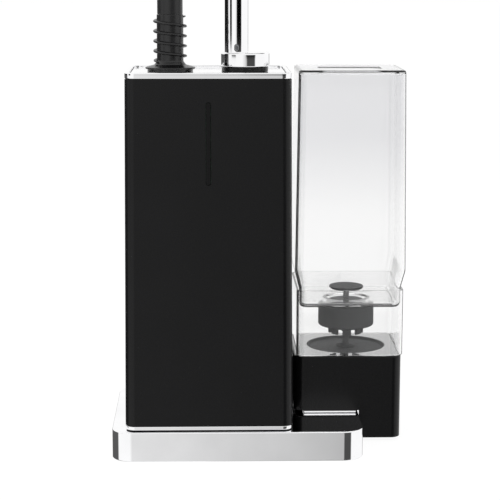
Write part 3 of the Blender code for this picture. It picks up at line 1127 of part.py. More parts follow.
def build_tank():
    """Clear tank with its neck, screw cap, seal and spring valve."""
    place = (TANK_X, DOCK_Y)
    tank = stacked("water_tank", [
        *((*tank_section(TANK_DRAFT + inset, inset), level)
          for inset, level in rounded_top(TANK_EDGE, TANK_TOP)),
        (*tank_section(0, 0), TANK_FULL),
        (PLUG_WIDTH, PLUG_DEPTH, PLUG_CORNER, TANK_SHOULDER),
        (PLUG_WIDTH, PLUG_DEPTH, PLUG_CORNER, PLUG_BOTTOM)], CLEAR, place)
    wall = TANK_WALL
    inside = stacked("tank_inside", [
        (*tank_section(TANK_DRAFT + wall, wall), TANK_TOP - TANK_TOP_THICKNESS),
        (*tank_section(wall, wall), TANK_FULL + wall),
        (PLUG_WIDTH - 2 * wall, PLUG_DEPTH - 2 * wall, PLUG_CORNER - wall, TANK_SHOULDER + wall),
        (PLUG_WIDTH - 2 * wall, PLUG_DEPTH - 2 * wall, PLUG_CORNER - wall, TANK_FLOOR)], None, place)
    panel = rounded_rectangle(TANK_PANEL_WIDTH, TANK_PANEL_DEPTH, TANK_CORNER)
    cut(tank, inside)
    cut(tank, flat_solid("tank_panel", [panel], TANK_TOP - TANK_PANEL_RECESS, TANK_TOP + TANK_EDGE, None,
                         place))
    join(tank, rod("tank_neck", NECK_OUTER, NECK_BOTTOM, TANK_FLOOR - wall / 2, None, place,
                   steps=ROUND_STEPS))
    cut(tank, rod("neck_bore", NECK_BORE, NECK_BOTTOM - wall, TANK_FLOOR + wall, None, place,
                  steps=ROUND_STEPS))

    pocket_top = CAP_UNDERSIDE + SPRING_POCKET_DEPTH
    shaft = STEM_RADIUS + SEAT
    cage_inner = CAGE_RADIUS - CAGE_WALL
    cap = turned("tank_cap", [
        (CAP_BORE, TANK_CAP_TOP), (TANK_CAP_RADIUS, TANK_CAP_TOP),
        (TANK_CAP_RADIUS, CAP_UNDERSIDE + CAP_CHAMFER),
        (TANK_CAP_RADIUS - CAP_CHAMFER / 2, CAP_UNDERSIDE + CAP_CHAMFER / 4), (CAGE_RADIUS, CAP_UNDERSIDE),
        (CAGE_RADIUS, CAGE_BOTTOM), (cage_inner, CAGE_BOTTOM), (cage_inner, CAP_UNDERSIDE),
        (SPRING_POCKET_RADIUS, CAP_UNDERSIDE), (SPRING_POCKET_RADIUS, pocket_top), (shaft, pocket_top),
        (shaft, CAP_FLOOR_TOP), (CAP_BORE, CAP_FLOOR_TOP)], GREY_PLASTIC, place, closed=True)
    half = CAGE_WINDOW_WIDTH / 2
    reach = CAGE_RADIUS + CAGE_WALL
    for i in range(CAGE_WINDOW_CUTS):
        slot = block(f"cage_window_{i + 1}", (TANK_X - reach, DOCK_Y - half, CAGE_BOTTOM - CAGE_WALL),
                     (TANK_X + reach, DOCK_Y + half, CAP_UNDERSIDE - SEAT), None)
        slot.rotation_euler.z = math.pi * (i + 0.5) / CAGE_WINDOW_CUTS
        cut(cap, slot)

    seal_top = SEAL_BOTTOM + SEAL_HEIGHT
    seal_outer = CAP_BORE - SEAT
    seal_inner = seal_outer - SEAL_WIDTH
    turned("cap_seal", [(seal_outer, seal_top), (seal_outer, SEAL_BOTTOM), (seal_inner, SEAL_BOTTOM),
                        (seal_inner, seal_top)], RUBBER, place, closed=True)
    head_low = CAP_FLOOR_TOP + SEAT
    head_top = head_low + VALVE_HEAD_HEIGHT
    disc_top = VALVE_DISC_BOTTOM + VALVE_DISC_HEIGHT
    lower_top = disc_top - VALVE_DISC_SPACING
    lower_bottom = VALVE_DISC_BOTTOM - VALVE_DISC_SPACING
    collar_top = STEM_BOTTOM + STEM_COLLAR_HEIGHT
    turned("tank_valve", [
        (0, disc_top), (VALVE_DISC_RADIUS, disc_top), (VALVE_DISC_RADIUS, VALVE_DISC_BOTTOM),
        (STEM_RADIUS, VALVE_DISC_BOTTOM), (STEM_RADIUS, lower_top), (VALVE_DISC_RADIUS, lower_top),
        (VALVE_DISC_RADIUS, lower_bottom), (STEM_RADIUS, lower_bottom), (STEM_RADIUS, head_top),
        (VALVE_HEAD_RADIUS, head_top),
        (VALVE_HEAD_RADIUS, head_low), (STEM_RADIUS, head_low), (STEM_RADIUS, collar_top),
        (STEM_COLLAR_RADIUS, collar_top), (STEM_COLLAR_RADIUS, STEM_BOTTOM), (0, STEM_BOTTOM)],
        GREY_PLASTIC, place)

    radius = STEM_RADIUS + SEAT + SPRING_WIRE / 2 + (SPRING_POCKET_RADIUS - STEM_RADIUS - SPRING_WIRE) / 3
    low = SPRING_BOTTOM + SPRING_WIRE / 2
    rise = SPRING_TOP - SPRING_BOTTOM - SPRING_WIRE
    count = SPRING_TURNS * SPRING_POINTS_PER_TURN
    spring = []
    for i in range(count + 1):
        angle = 2 * math.pi * i / SPRING_POINTS_PER_TURN
        spring.append(Vector((TANK_X + radius * math.cos(angle), DOCK_Y + radius * math.sin(angle),
                              low + rise * i / count)))
    tube("valve_spring", spring, SPRING_WIRE / 2, STEEL, 1)
    report_self_gap("valve_spring", spring, SPRING_WIRE, SPRING_POINTS_PER_TURN)


clear_scene()
PARTS = new_collection("garment_steamer")
CUTTERS = new_collection("cutters")
CHROME = finish("chrome_plate", (0.82, 0.83, 0.84), 0.08, metallic=1.0)
STEEL = finish("stainless_steel", (0.60, 0.60, 0.61), 0.3, metallic=1.0)
ALUMINIUM = finish("cast_aluminium", (0.70, 0.71, 0.72), 0.4, metallic=1.0)
BLACK_PLASTIC = finish("satin_black_plastic", (0.013, 0.013, 0.014), 0.35)
GLOSS_BLACK = finish("gloss_black_strip", (0.008, 0.008, 0.009), 0.15)
GREY_PLASTIC = finish("dark_grey_plastic", (0.07, 0.07, 0.07), 0.45)
RUBBER = finish("black_rubber", (0.018, 0.018, 0.018), 0.6)
CLEAR = finish("clear_plastic", (0.95, 0.96, 0.96), 0.04, transmission=0.95)
BOARD_GREEN = finish("circuit_board", (0.02, 0.16, 0.07), 0.5)

PLATE = build_base()
STRIP_BACK = build_housing()
FEED_HOLE = build_inside(PLATE, STRIP_BACK)
build_hose()
build_pole()
build_carriers()
build_head()
build_dock(FEED_HOLE)
build_tank()
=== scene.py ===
"""Dresses the frame of an upright garment steamer: base unit, pole, hose, steam head and water tank."""

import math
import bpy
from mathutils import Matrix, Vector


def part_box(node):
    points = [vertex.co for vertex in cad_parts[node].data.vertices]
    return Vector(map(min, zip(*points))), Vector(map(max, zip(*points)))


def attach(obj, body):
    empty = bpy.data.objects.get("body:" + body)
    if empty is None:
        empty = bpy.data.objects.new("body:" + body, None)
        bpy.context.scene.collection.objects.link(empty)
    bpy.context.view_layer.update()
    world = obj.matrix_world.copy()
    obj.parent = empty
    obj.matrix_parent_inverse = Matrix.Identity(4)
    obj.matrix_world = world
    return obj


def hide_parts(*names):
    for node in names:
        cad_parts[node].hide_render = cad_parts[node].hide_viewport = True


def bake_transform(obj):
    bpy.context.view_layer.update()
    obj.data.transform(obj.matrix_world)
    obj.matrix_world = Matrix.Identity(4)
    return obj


bl_info = {
    "name": "Garment Steamer",
    "version": (1, 0, 0),
    "blender": (4, 5, 0),
    "location": "View3D > Sidebar > Steamer",
    "description": "Models a garment steamer's pieces and finishes on its CAD frame",
    "category": "Object",
}

import bmesh
import bpy
from bpy.props import FloatProperty, FloatVectorProperty, PointerProperty
from mathutils import Matrix, Vector

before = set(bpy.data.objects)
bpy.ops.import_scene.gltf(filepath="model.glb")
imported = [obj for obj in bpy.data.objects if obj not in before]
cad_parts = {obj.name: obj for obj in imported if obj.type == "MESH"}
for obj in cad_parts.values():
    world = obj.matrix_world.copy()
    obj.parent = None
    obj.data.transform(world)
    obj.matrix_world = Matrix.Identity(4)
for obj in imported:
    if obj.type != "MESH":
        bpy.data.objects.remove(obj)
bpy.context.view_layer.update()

MM = 0.001
SEAT = 0.3 * MM


def axis_of(node):
    """The upright axis that a CAD node stands round, as x and y."""
    low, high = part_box(node)
    return ((low + high) / 2).xy


def radius_of(node):
    """Half of a CAD node's width."""
    low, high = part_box(node)
    return (high.x - low.x) / 2


# Upright axes of the pieces that are turned
HOSE_AXIS = axis_of("hose_boot")
POLE_AXIS = axis_of("pole_lower")
COLLAR_AXIS = axis_of("pole_collar")
HEAD_AXIS = axis_of("hose_swivel")
TANK_AXIS = axis_of("tank_cap")

# Outside radii of the pole's three tubes, and the bore of what holds its lowest one
LOWER_TUBE = 10.75 * MM
MIDDLE_TUBE = 9.25 * MM
UPPER_TUBE = 7.75 * MM
POLE_BORE = LOWER_TUBE + SEAT
CLAMP_RADIUS = POLE_BORE + 5.5 * MM

# The hose's coil hangs round this middle, as (x, z), and its rise from the boot passes these points, as
# (y, z) in millimetres
COIL_RADIUS = 118.0 * MM
COIL_MIDDLE = (HOSE_AXIS.x + COIL_RADIUS, 572.0 * MM)
COIL_TURNS = 2
COIL_PITCH = 28.0 * MM
HOSE_RISE = ((-25.0, 432.0), (-22.0, 456.0), (-13.0, 481.0), (-4.0, 506.0), (-1.0, 530.0), (-1.0, 548.8))


def linear(code):
    """Turn an sRGB hex value into the linear colour that a shader takes."""
    channels = [int(code[i:i + 2], 16) / 255 for i in (1, 3, 5)]
    return tuple(c / 12.92 if c <= 0.04045 else ((c + 0.055) / 1.055) ** 2.4 for c in channels)


# Sizes and colours

class SteamerSizes(bpy.types.PropertyGroup):
    """Sizes of the visible forms"""

    plate_corner: FloatProperty(name="Base corner", description="Radius of the base plate's upright edges",
                                default=19.0 * MM, unit="LENGTH")
    plate_edge: FloatProperty(name="Base edge", description="Rounding of the base plate's top edge",
                              default=1.0 * MM, unit="LENGTH")
    body_corner: FloatProperty(name="Housing corner", description="Radius of the housing's upright edges",
                               default=9.0 * MM, unit="LENGTH")
    body_wall: FloatProperty(name="Housing wall", description="Thickness of the housing's wall",
                             default=2.5 * MM, unit="LENGTH")
    trim_edge: FloatProperty(name="Trim edge", description="Rounding of the chromed trims' edges",
                             default=0.5 * MM, unit="LENGTH")
    boot_radius: FloatProperty(name="Boot radius", description="Radius of the hose's boot", default=12.1 * MM,
                               unit="LENGTH")
    hose_diameter: FloatProperty(name="Hose diameter", description="Outside diameter of the steam hose",
                                 default=23.2 * MM, unit="LENGTH")
    collar_edge: FloatProperty(name="Collar edge", description="Rounding of the pole collar's edges",
                               default=1.6 * MM, unit="LENGTH")
    tank_corner: FloatProperty(name="Tank corner", description="Radius of the tank's upright edges",
                               default=9.0 * MM, unit="LENGTH")
    tank_wall: FloatProperty(name="Tank wall", description="Thickness of the tank's wall", default=2.2 * MM,
                             unit="LENGTH")
    dock_corner: FloatProperty(name="Dock corner", description="Radius of the dock's upright edges",
                               default=9.0 * MM, unit="LENGTH")


class SteamerColours(bpy.types.PropertyGroup):
    """Colours of the finishes"""

    housing: FloatVectorProperty(name="Housing", description="Black of the moulded housing and dock",
                                 subtype="COLOR", default=linear("#0B0B0C"))
    chrome: FloatVectorProperty(name="Chrome", description="Tint of the chromed parts", subtype="COLOR",
                                default=linear("#FAFAFB"))
    rubber: FloatVectorProperty(name="Rubber", description="Black of the hose and its boot", subtype="COLOR",
                                default=linear("#0F0F10"))
    cap: FloatVectorProperty(name="Cap", description="Grey of the tank's cap and valve", subtype="COLOR",
                             default=linear("#343536"))
    clear: FloatVectorProperty(name="Tank", description="Tint of the clear tank", subtype="COLOR",
                               default=linear("#F1F1F2"))


# Modelling steps

def leave():
    """Go back to object mode with nothing selected."""
    if bpy.context.mode != "OBJECT":
        bpy.ops.object.mode_set(mode="OBJECT")
    bpy.ops.object.select_all(action="DESELECT")


def take(piece):
    """Make one piece the only selected and the active one."""
    leave()
    piece.select_set(True)
    bpy.context.view_layer.objects.active = piece


def keep_new(name):
    """Name the primitive just added and put its place and size into its mesh."""
    piece = bpy.context.active_object
    piece.name = name
    piece.data.name = name
    bpy.ops.object.transform_apply(location=True, rotation=True, scale=True)
    return piece


def block(name, low, high, turn=0.0):
    """Add a box between two corners, turned about its own upright axis."""
    leave()
    low = Vector(low)
    high = Vector(high)
    bpy.ops.mesh.primitive_cube_add(size=1, location=(low + high) / 2, rotation=(0, 0, turn),
                                    scale=high - low)
    return keep_new(name)


def pick(piece, kind, test):
    """Select a piece's faces or edges by a test of their place or normal."""
    take(piece)
    bpy.ops.object.mode_set(mode="EDIT")
    bpy.ops.mesh.select_mode(type=kind)
    bpy.ops.mesh.select_all(action="DESELECT")
    mesh = bmesh.from_edit_mesh(piece.data)
    found = [item for item in (mesh.faces if kind == "FACE" else mesh.edges) if test(item)]
    if not found:
        raise RuntimeError(f"nothing to select on {piece.name}")
    for item in found:
        item.select_set(True)
    bmesh.update_edit_mesh(piece.data)


def along(axis):
    """A test for edges that run along an axis."""
    return lambda edge: abs((edge.verts[0].co - edge.verts[1].co).normalized()[axis]) > 0.999


def at(axis, place):
    """A test for faces and edges that lie at a place on an axis."""
    return lambda item: all(abs(vert.co[axis] - place) < 0.02 * MM for vert in item.verts)


def facing(axis, way):
    """A test for faces that look one way along an axis."""
    return lambda face: face.normal[axis] * way > 0.999


def soften(piece, test, radius, steps=4):
    """Round the edges that a test finds."""
    pick(piece, "EDGE", test)
    bpy.ops.mesh.bevel(offset=radius, segments=steps, affect="EDGES")
    leave()


def shape_with(piece, kind, **settings):
    """Add a modifier with its settings and apply it."""
    take(piece)
    bpy.ops.object.modifier_add(type=kind)
    modifier = piece.modifiers[-1]
    for name, value in settings.items():
        setattr(modifier, name, value)
    bpy.ops.object.modifier_apply(modifier=modifier.name)


def soften_sharp(piece, radius, steps=3, angle=50.0):
    """Round every sharp edge of a piece."""
    shape_with(piece, "BEVEL", width=radius, segments=steps, limit_method="ANGLE",
               angle_limit=math.radians(angle), use_clamp_overlap=True)


def carve(piece, *tools, operation="DIFFERENCE"):
    """Cut tools out of a piece, or join them to it, and clear them away."""
    for tool in tools:
        shape_with(piece, "BOOLEAN", object=tool, operation=operation, solver="EXACT")
        take(tool)
        bpy.ops.object.delete()
    take(piece)
    bpy.ops.object.mode_set(mode="EDIT")
    bpy.ops.mesh.select_mode(type="VERT")
    merge_doubles()
    leave()


def slab(name, low, high, corner, steps=12):
    """Add a box with rounded upright edges."""
    piece = block(name, low, high)
    soften(piece, along(2), corner, steps)
    return piece


def capsule(name, low, high, corner=None, steps=8):
    """Add a box whose edges from front to back are rounded, into a capsule where no radius is given."""
    piece = block(name, low, high)
    size = Vector(high) - Vector(low)
    soften(piece, along(1), corner or 0.499 * min(size.x, size.z), steps)
    return piece


def band(name, low, high, corner, depth, edge, top=1.0):
    """Model a rounded frame: a slab opened at top and bottom, with a share of its width at the top, thickened
    inwards and eased."""
    piece = slab(name, low, high, corner)
    pick(piece, "FACE", lambda face: abs(face.normal.z) > 0.999)
    bpy.ops.mesh.delete(type="FACE")
    pick(piece, "EDGE", at(2, high.z))
    bpy.ops.transform.resize(value=(top, 1, 1), center_override=((low.x + high.x) / 2, 0, high.z))
    shape_with(piece, "SOLIDIFY", thickness=depth, offset=-1, use_even_offset=True)
    soften_sharp(piece, edge)
    return piece


def eased(profile, steps=5, closed=False):
    """Replace each corner of a line that has a third value, its rounding, with the points of an arc."""
    line = []
    for index, corner in enumerate(profile):
        here = Vector(corner[:2])
        if len(corner) == 2:
            line.append(here)
            continue
        before = (Vector(profile[index - 1][:2]) - here).normalized()
        after = (Vector(profile[(index + 1) % len(profile)][:2]) - here).normalized()
        half = before.angle(after) / 2
        middle = here + (before + after).normalized() * corner[2] / math.sin(half)
        start = here + before * corner[2] / math.tan(half) - middle
        end = here + after * corner[2] / math.tan(half) - middle
        for step in range(steps + 1):
            line.append(middle + start.lerp(end, step / steps).normalized() * corner[2])
    if closed:
        line.append(line[0])
    return line


def drawn(name, points):
    """Extrude one point along a line of points, and stay in edit mode with all of it selected."""
    leave()
    bpy.ops.mesh.primitive_plane_add(size=MM, location=points[0])
    piece = keep_new(name)
    bpy.ops.object.mode_set(mode="EDIT")
    bpy.ops.mesh.select_mode(type="VERT")
    bpy.ops.mesh.select_all(action="SELECT")
    bpy.ops.mesh.merge(type="CENTER")
    for here, there in zip(points, points[1:]):
        bpy.ops.mesh.extrude_vertices_move(TRANSFORM_OT_translate={"value": there - here})
    bpy.ops.mesh.select_all(action="SELECT")
    return piece


def merge_doubles():
    """Select the whole piece in edit mode and merge the points that lie on each other."""
    bpy.ops.mesh.select_all(action="SELECT")
    bpy.ops.mesh.remove_doubles(threshold=0.003 * MM)


def close_up(piece):
    """Merge a piece's doubles in edit mode and turn its faces outwards."""
    merge_doubles()
    bpy.ops.mesh.normals_make_consistent(inside=False)
    leave()
    return piece


def turned(name, axis, profile, steps=64, closed=False):
    """Spin a profile of (radius, level, rounding) round an upright axis."""
    points = [Vector((axis[0] + radius, axis[1], level)) for radius, level in eased(profile, closed=closed)]
    piece = drawn(name, points)
    bpy.ops.mesh.spin(steps=steps, angle=math.tau, center=(*axis, 0), axis=(0, 0, 1))
    return close_up(piece)


def rod(name, axis, radius, low, high, steps=64):
    """Add a round bar on an upright axis between two levels."""
    return turned(name, axis, [(0, low), (radius, low), (radius, high), (0, high)], steps)


def flute(piece, axis, radius, count, depth, low, high):
    """Sink every other strip of a turned piece's side, for grip."""
    def sunk(face):
        middle = face.calc_center_median() - Vector((*axis, 0))
        angle = math.atan2(middle.y, middle.x) / math.tau % 1
        on_side = abs(face.normal.z) < 0.01 and math.hypot(middle.x, middle.y) > 0.98 * radius
        return on_side and low < middle.z < high and int(angle * 2 * count + 0.001) % 2 == 0
    pick(piece, "FACE", sunk)
    bpy.ops.mesh.inset(thickness=depth, depth=-depth, use_boundary=True)
    leave()


def line_curve(name, points):
    """Add a curve with closed ends along a line of points."""
    curve = bpy.data.curves.new(name, "CURVE")
    curve.dimensions = "3D"
    curve.use_fill_caps = True
    spline = curve.splines.new("POLY")
    spline.points.add(len(points) - 1)
    for point, place in zip(spline.points, points):
        point.co = (*place, 1.0)
    piece = bpy.data.objects.new(name, curve)
    bpy.context.scene.collection.objects.link(piece)
    return piece


def meshed(piece):
    """Turn a curve into a clean mesh."""
    take(piece)
    bpy.ops.object.convert(target="MESH")
    bpy.ops.object.mode_set(mode="EDIT")
    return close_up(bpy.context.active_object)


def wire(name, points, radius):
    """Model round wire along a line of points."""
    piece = line_curve(name, points)
    piece.data.bevel_depth = radius
    piece.data.bevel_resolution = 4
    return meshed(piece)


def done(piece, body, finish, slot, *nodes):
    """Smooth a finished piece, give it its finish, attach it to what it rides on, if one body, and hide the
    CAD nodes that it stands for.
    """
    take(piece)
    bpy.ops.object.shade_smooth_by_angle(angle=math.radians(35))
    shape_with(piece, "WEIGHTED_NORMAL", keep_sharp=True, weight=90)
    piece.data.materials.clear()
    piece.data.materials.append(finish)
    if body:
        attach(piece, body)
    if nodes:
        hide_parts(*nodes)
    return piece


# Finishes

# Noise lies mostly in this range, which is spread over a finish's two tones and its two roughnesses
NOISE_RANGE = (0.3, 0.7)


def add_node(tree, kind, inputs=None, **settings):
    """Add one shader node with its settings, its socket values and its links."""
    node = tree.nodes.new(kind)
    for name, value in settings.items():
        setattr(node, name, value)
    for name, value in (inputs or {}).items():
        if isinstance(value, bpy.types.NodeSocket):
            tree.links.new(value, node.inputs[name])
        else:
            node.inputs[name].default_value = value
    return node


def start_finish(name):
    """Start a material with an empty tree, and return it with its object coordinates."""
    material = bpy.data.materials.new(name)
    material.use_nodes = True
    tree = material.node_tree
    tree.nodes.clear()
    return material, tree, add_node(tree, "ShaderNodeTexCoord").outputs["Object"]


def end_finish(material, tree, tones, marks, rough, wear, bump=None, surface=None):
    """Close a material: marks blend its two tones, and wear spreads its roughness and raises a bump, if there
    is one, of a depth in metres and a strength."""
    tone = add_node(tree, "ShaderNodeValToRGB", {"Fac": marks})
    for stop, place, colour in zip(tone.color_ramp.elements, NOISE_RANGE, tones):
        stop.position = place
        stop.color = colour
    spread = add_node(tree, "ShaderNodeMapRange", {
        "Value": wear, "From Min": NOISE_RANGE[0], "From Max": NOISE_RANGE[1], "To Min": rough[0],
        "To Max": rough[1]})
    inputs = {"Base Color": tone.outputs["Color"], "Roughness": spread.outputs["Result"], **(surface or {})}
    if bump:
        lift = add_node(tree, "ShaderNodeBump", {"Height": wear, "Distance": bump[0], "Strength": bump[1]})
        inputs["Normal"] = lift.outputs["Normal"]
    shader = add_node(tree, "ShaderNodeBsdfPrincipled", inputs)
    add_node(tree, "ShaderNodeOutputMaterial", {"Surface": shader.outputs["BSDF"]})
    return material


def shade(colour, factor=1.0):
    """A colour made lighter or darker, with its alpha."""
    return (*(channel * factor for channel in colour), 1.0)


def moulded_black_abs(colours):
    """Black ABS from a spark-eroded mould."""
    # Satin: a deep black with a soft gloss. The mould's 0.3 mm grain is drawn at 0.9 mm, so that it shows.
    material, tree, place = start_finish("moulded_black_abs")
    grain = add_node(tree, "ShaderNodeTexNoise", {"Vector": place, "Scale": 1 / (0.9 * MM)}).outputs["Fac"]
    cloud = add_node(tree, "ShaderNodeTexNoise", {"Vector": place, "Scale": 1 / (60 * MM)}).outputs["Fac"]
    tones = shade(colours.housing, 0.85), shade(colours.housing, 1.15)
    return end_finish(material, tree, tones, cloud, (0.26, 0.34), grain, (0.01 * MM, 0.5),
                      {"Specular IOR Level": 0.24})


def gloss_black_abs(colours):
    """Polished black ABS of the control strip."""
    # A polished mould gives a smoother gloss that sets the strip off from the satin housing.
    material, tree, place = start_finish("gloss_black_abs")
    cloud = add_node(tree, "ShaderNodeTexNoise", {"Vector": place, "Scale": 1 / (12 * MM)}).outputs["Fac"]
    tones = shade(colours.housing, 0.5), shade(colours.housing, 0.7)
    return end_finish(material, tree, tones, cloud, (0.20, 0.26), cloud, None, {"Specular IOR Level": 0.2})


def polished_black_acrylic(colours):
    """Polished black acrylic of the dock's deck."""
    # Black from above, and a near mirror at the low angle that the photograph takes through the sleeve.
    material, tree, place = start_finish("polished_black_acrylic")
    cloud = add_node(tree, "ShaderNodeTexNoise", {"Vector": place, "Scale": 1 / (20 * MM)}).outputs["Fac"]
    tones = shade(colours.housing, 0.9), shade(colours.housing, 1.1)
    return end_finish(material, tree, tones, cloud, (0.04, 0.08), cloud, None,
                      {"Specular IOR Level": 1.0, "Coat Weight": 1.0, "Coat IOR": 1.9})


def plated_chrome(colours):
    """Bright chrome plate on moulded ABS."""
    # A mirror with a faint haze from polishing and wiping, in patches about 30 mm wide.
    material, tree, place = start_finish("plated_chrome")
    haze = add_node(tree, "ShaderNodeTexNoise", {"Vector": place, "Scale": 1 / (30 * MM)}).outputs["Fac"]
    tones = shade(colours.chrome, 0.97), shade(colours.chrome, 1.03)
    return end_finish(material, tree, tones, haze, (0.03, 0.07), haze, None, {"Metallic": 1.0})


def drawn_chrome_tube(colours):
    """Chrome plate on drawn steel tube."""
    # Sharper than the moulded trims, with drawing lines along the tube about 0.4 mm apart.
    material, tree, place = start_finish("drawn_chrome_tube")
    long_way = add_node(tree, "ShaderNodeMapping", {"Vector": place, "Scale": (1, 1, 0.01)}).outputs["Vector"]
    lines = add_node(tree, "ShaderNodeTexNoise", {"Vector": long_way, "Scale": 1 / (0.4 * MM)}).outputs["Fac"]
    tones = shade(colours.chrome, 0.98), shade(colours.chrome, 1.02)
    return end_finish(material, tree, tones, lines, (0.03, 0.06), lines, None, {"Metallic": 1.0})


def moulded_clear_san(colours):
    """Water-clear SAN of the tank and its sleeve."""
    # Clear with a faint grey tint that deepens up the tank, and weak flow marks from the mould, 20 mm long.
    material, tree, place = start_finish("moulded_clear_san")
    flow = add_node(tree, "ShaderNodeTexNoise", {"Vector": place, "Scale": 1 / (20 * MM)}).outputs["Fac"]
    height = add_node(tree, "ShaderNodeSeparateXYZ", {"Vector": place}).outputs["Z"]
    depth = add_node(tree, "ShaderNodeMapRange", {"Value": height, "From Min": 0.15, "From Max": 0.35})
    tones = shade(linear("#FAFAFA")), shade(colours.clear)
    return end_finish(material, tree, tones, depth.outputs["Result"], (0.0, 0.015), flow, None,
                      {"Transmission Weight": 1.0, "IOR": 1.49})


def moulded_grey_pp(colours):
    """Dark grey polypropylene of the cap and valve."""
    # Waxy and matt, with a grain of 0.4 mm drawn at 0.8 mm so that it shows.
    material, tree, place = start_finish("moulded_grey_pp")
    grain = add_node(tree, "ShaderNodeTexNoise", {"Vector": place, "Scale": 1 / (0.8 * MM)}).outputs["Fac"]
    tones = shade(colours.cap, 0.94), shade(colours.cap, 1.06)
    return end_finish(material, tree, tones, grain, (0.60, 0.72), grain, (0.01 * MM, 0.5),
                      {"Specular IOR Level": 0.22})


def moulded_epdm_rubber(colours):
    """Black EPDM rubber of the boot and its kink guard."""
    # Soft gloss in broad bands, with a dusty bloom in patches about 6 mm wide.
    material, tree, place = start_finish("moulded_epdm_rubber")
    bloom = add_node(tree, "ShaderNodeTexNoise",
                     {"Vector": place, "Scale": 1 / (6 * MM), "Detail": 3.0}).outputs["Fac"]
    tones = shade(colours.rubber, 0.85), shade(colours.rubber, 1.15)
    return end_finish(material, tree, tones, bloom, (0.24, 0.32), bloom, None, {"Specular IOR Level": 0.5})


def knitted_hose_cover(colours):
    """Close black knit round the steam hose."""
    # A close, nearly smooth sleeve: fine rows round the hose, 1.2 mm apart, and ribs along it.
    material, tree, place = start_finish("knitted_hose_cover")
    lie = add_node(tree, "ShaderNodeUVMap").outputs["UV"]
    rows = add_node(tree, "ShaderNodeMapping", {"Vector": lie, "Scale": (1400, 60, 1)}).outputs["Vector"]
    knit = add_node(tree, "ShaderNodeTexNoise", {"Vector": rows, "Scale": 1.0, "Detail": 1.0}).outputs["Fac"]
    bloom = add_node(tree, "ShaderNodeTexNoise", {"Vector": place, "Scale": 1 / (9 * MM)}).outputs["Fac"]
    tones = shade(colours.rubber, 0.85), shade(colours.rubber, 1.15)
    return end_finish(material, tree, tones, bloom, (0.28, 0.38), knit, (0.05 * MM, 0.4),
                      {"Specular IOR Level": 0.5})


def brushed_stainless(colours):
    """Brushed stainless steel."""
    # Fine straight brush lines that stretch each highlight; drawn 0.3 mm apart.
    material, tree, place = start_finish("brushed_stainless")
    long_way = add_node(tree, "ShaderNodeMapping", {"Vector": place, "Scale": (0.02, 1, 1)}).outputs["Vector"]
    lines = add_node(tree, "ShaderNodeTexNoise", {"Vector": long_way, "Scale": 1 / (0.3 * MM)}).outputs["Fac"]
    tones = shade(linear("#B4B5B6")), shade(linear("#C9CACB"))
    return end_finish(material, tree, tones, lines, (0.22, 0.34), lines, (0.004 * MM, 0.5), {"Metallic": 1.0})


def burnished_steel(colours):
    """Steel of the lock button, burnished by use."""
    # Dark and smooth, with wear in patches about 3 mm wide.
    material, tree, place = start_finish("burnished_steel")
    wear = add_node(tree, "ShaderNodeTexNoise", {"Vector": place, "Scale": 1 / (3 * MM)}).outputs["Fac"]
    tones = shade(linear("#77787A")), shade(linear("#838486"))
    return end_finish(material, tree, tones, wear, (0.18, 0.24), wear, None, {"Metallic": 1.0})


def cast_aluminium(colours):
    """Die-cast aluminium of the boiler."""
    # Pale grey and grainy, with casting skin in spots about 1.5 mm wide.
    material, tree, place = start_finish("cast_aluminium")
    skin = add_node(tree, "ShaderNodeTexNoise",
                    {"Vector": place, "Scale": 1 / (1.5 * MM), "Detail": 4.0}).outputs["Fac"]
    tones = shade(linear("#A9ABAD")), shade(linear("#C4C6C8"))
    return end_finish(material, tree, tones, skin, (0.38, 0.55), skin, (0.05 * MM, 0.5), {"Metallic": 1.0})


def etched_circuit_board(colours):
    """Green solder resist over etched copper."""
    # Copper runs show through the resist as lighter green lines about 2 mm apart.
    material, tree, place = start_finish("etched_circuit_board")
    runs = add_node(tree, "ShaderNodeTexWave",
                    {"Vector": place, "Scale": 80.0, "Distortion": 6.0, "Detail": 1.0},
                    bands_direction="Z").outputs["Fac"]
    tones = shade(linear("#14512F")), shade(linear("#2B7A48"))
    return end_finish(material, tree, tones, runs, (0.30, 0.42), runs)


def finish(context, make):
    """Return a finish, made the first time that it is asked for."""
    return bpy.data.materials.get(make.__name__) or make(context.scene.steamer_colours)


def hose_route():
    """Points of the hose from its boot, up to the saddle, round its coil and into the head's swivel."""
    start = Vector((*HOSE_AXIS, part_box("hose_boot")[1].z + SEAT))
    rise = [start, *(Vector((HOSE_AXIS.x, y * MM, z * MM)) for y, z in HOSE_RISE)]
    padded = [2 * rise[0] - rise[1], *rise, 2 * rise[-1] - rise[-2]]
    points = []
    for first, second, third, fourth in zip(padded, padded[1:], padded[2:], padded[3:]):
        for step in range(4):
            t = step / 4
            points.append(0.5 * (2 * second + (third - first) * t
                                 + (2 * first - 5 * second + 4 * third - fourth) * t ** 2
                                 + (3 * second - first - 3 * third + fourth) * t ** 3))
    per_turn = 48
    for i in range(COIL_TURNS * per_turn + 1):
        turn = i / per_turn
        angle = math.pi - math.tau * turn
        points.append(Vector((COIL_MIDDLE[0] + COIL_RADIUS * math.cos(angle),
                              rise[-1].y + COIL_PITCH * turn,
                              COIL_MIDDLE[1] + COIL_RADIUS * math.sin(angle))))
    for share in (0.5, 1.0):
        points.append(Vector((HEAD_AXIS[0], HEAD_AXIS[1], COIL_MIDDLE[1] + 23.2 * MM * share)))
    return points


# Pieces

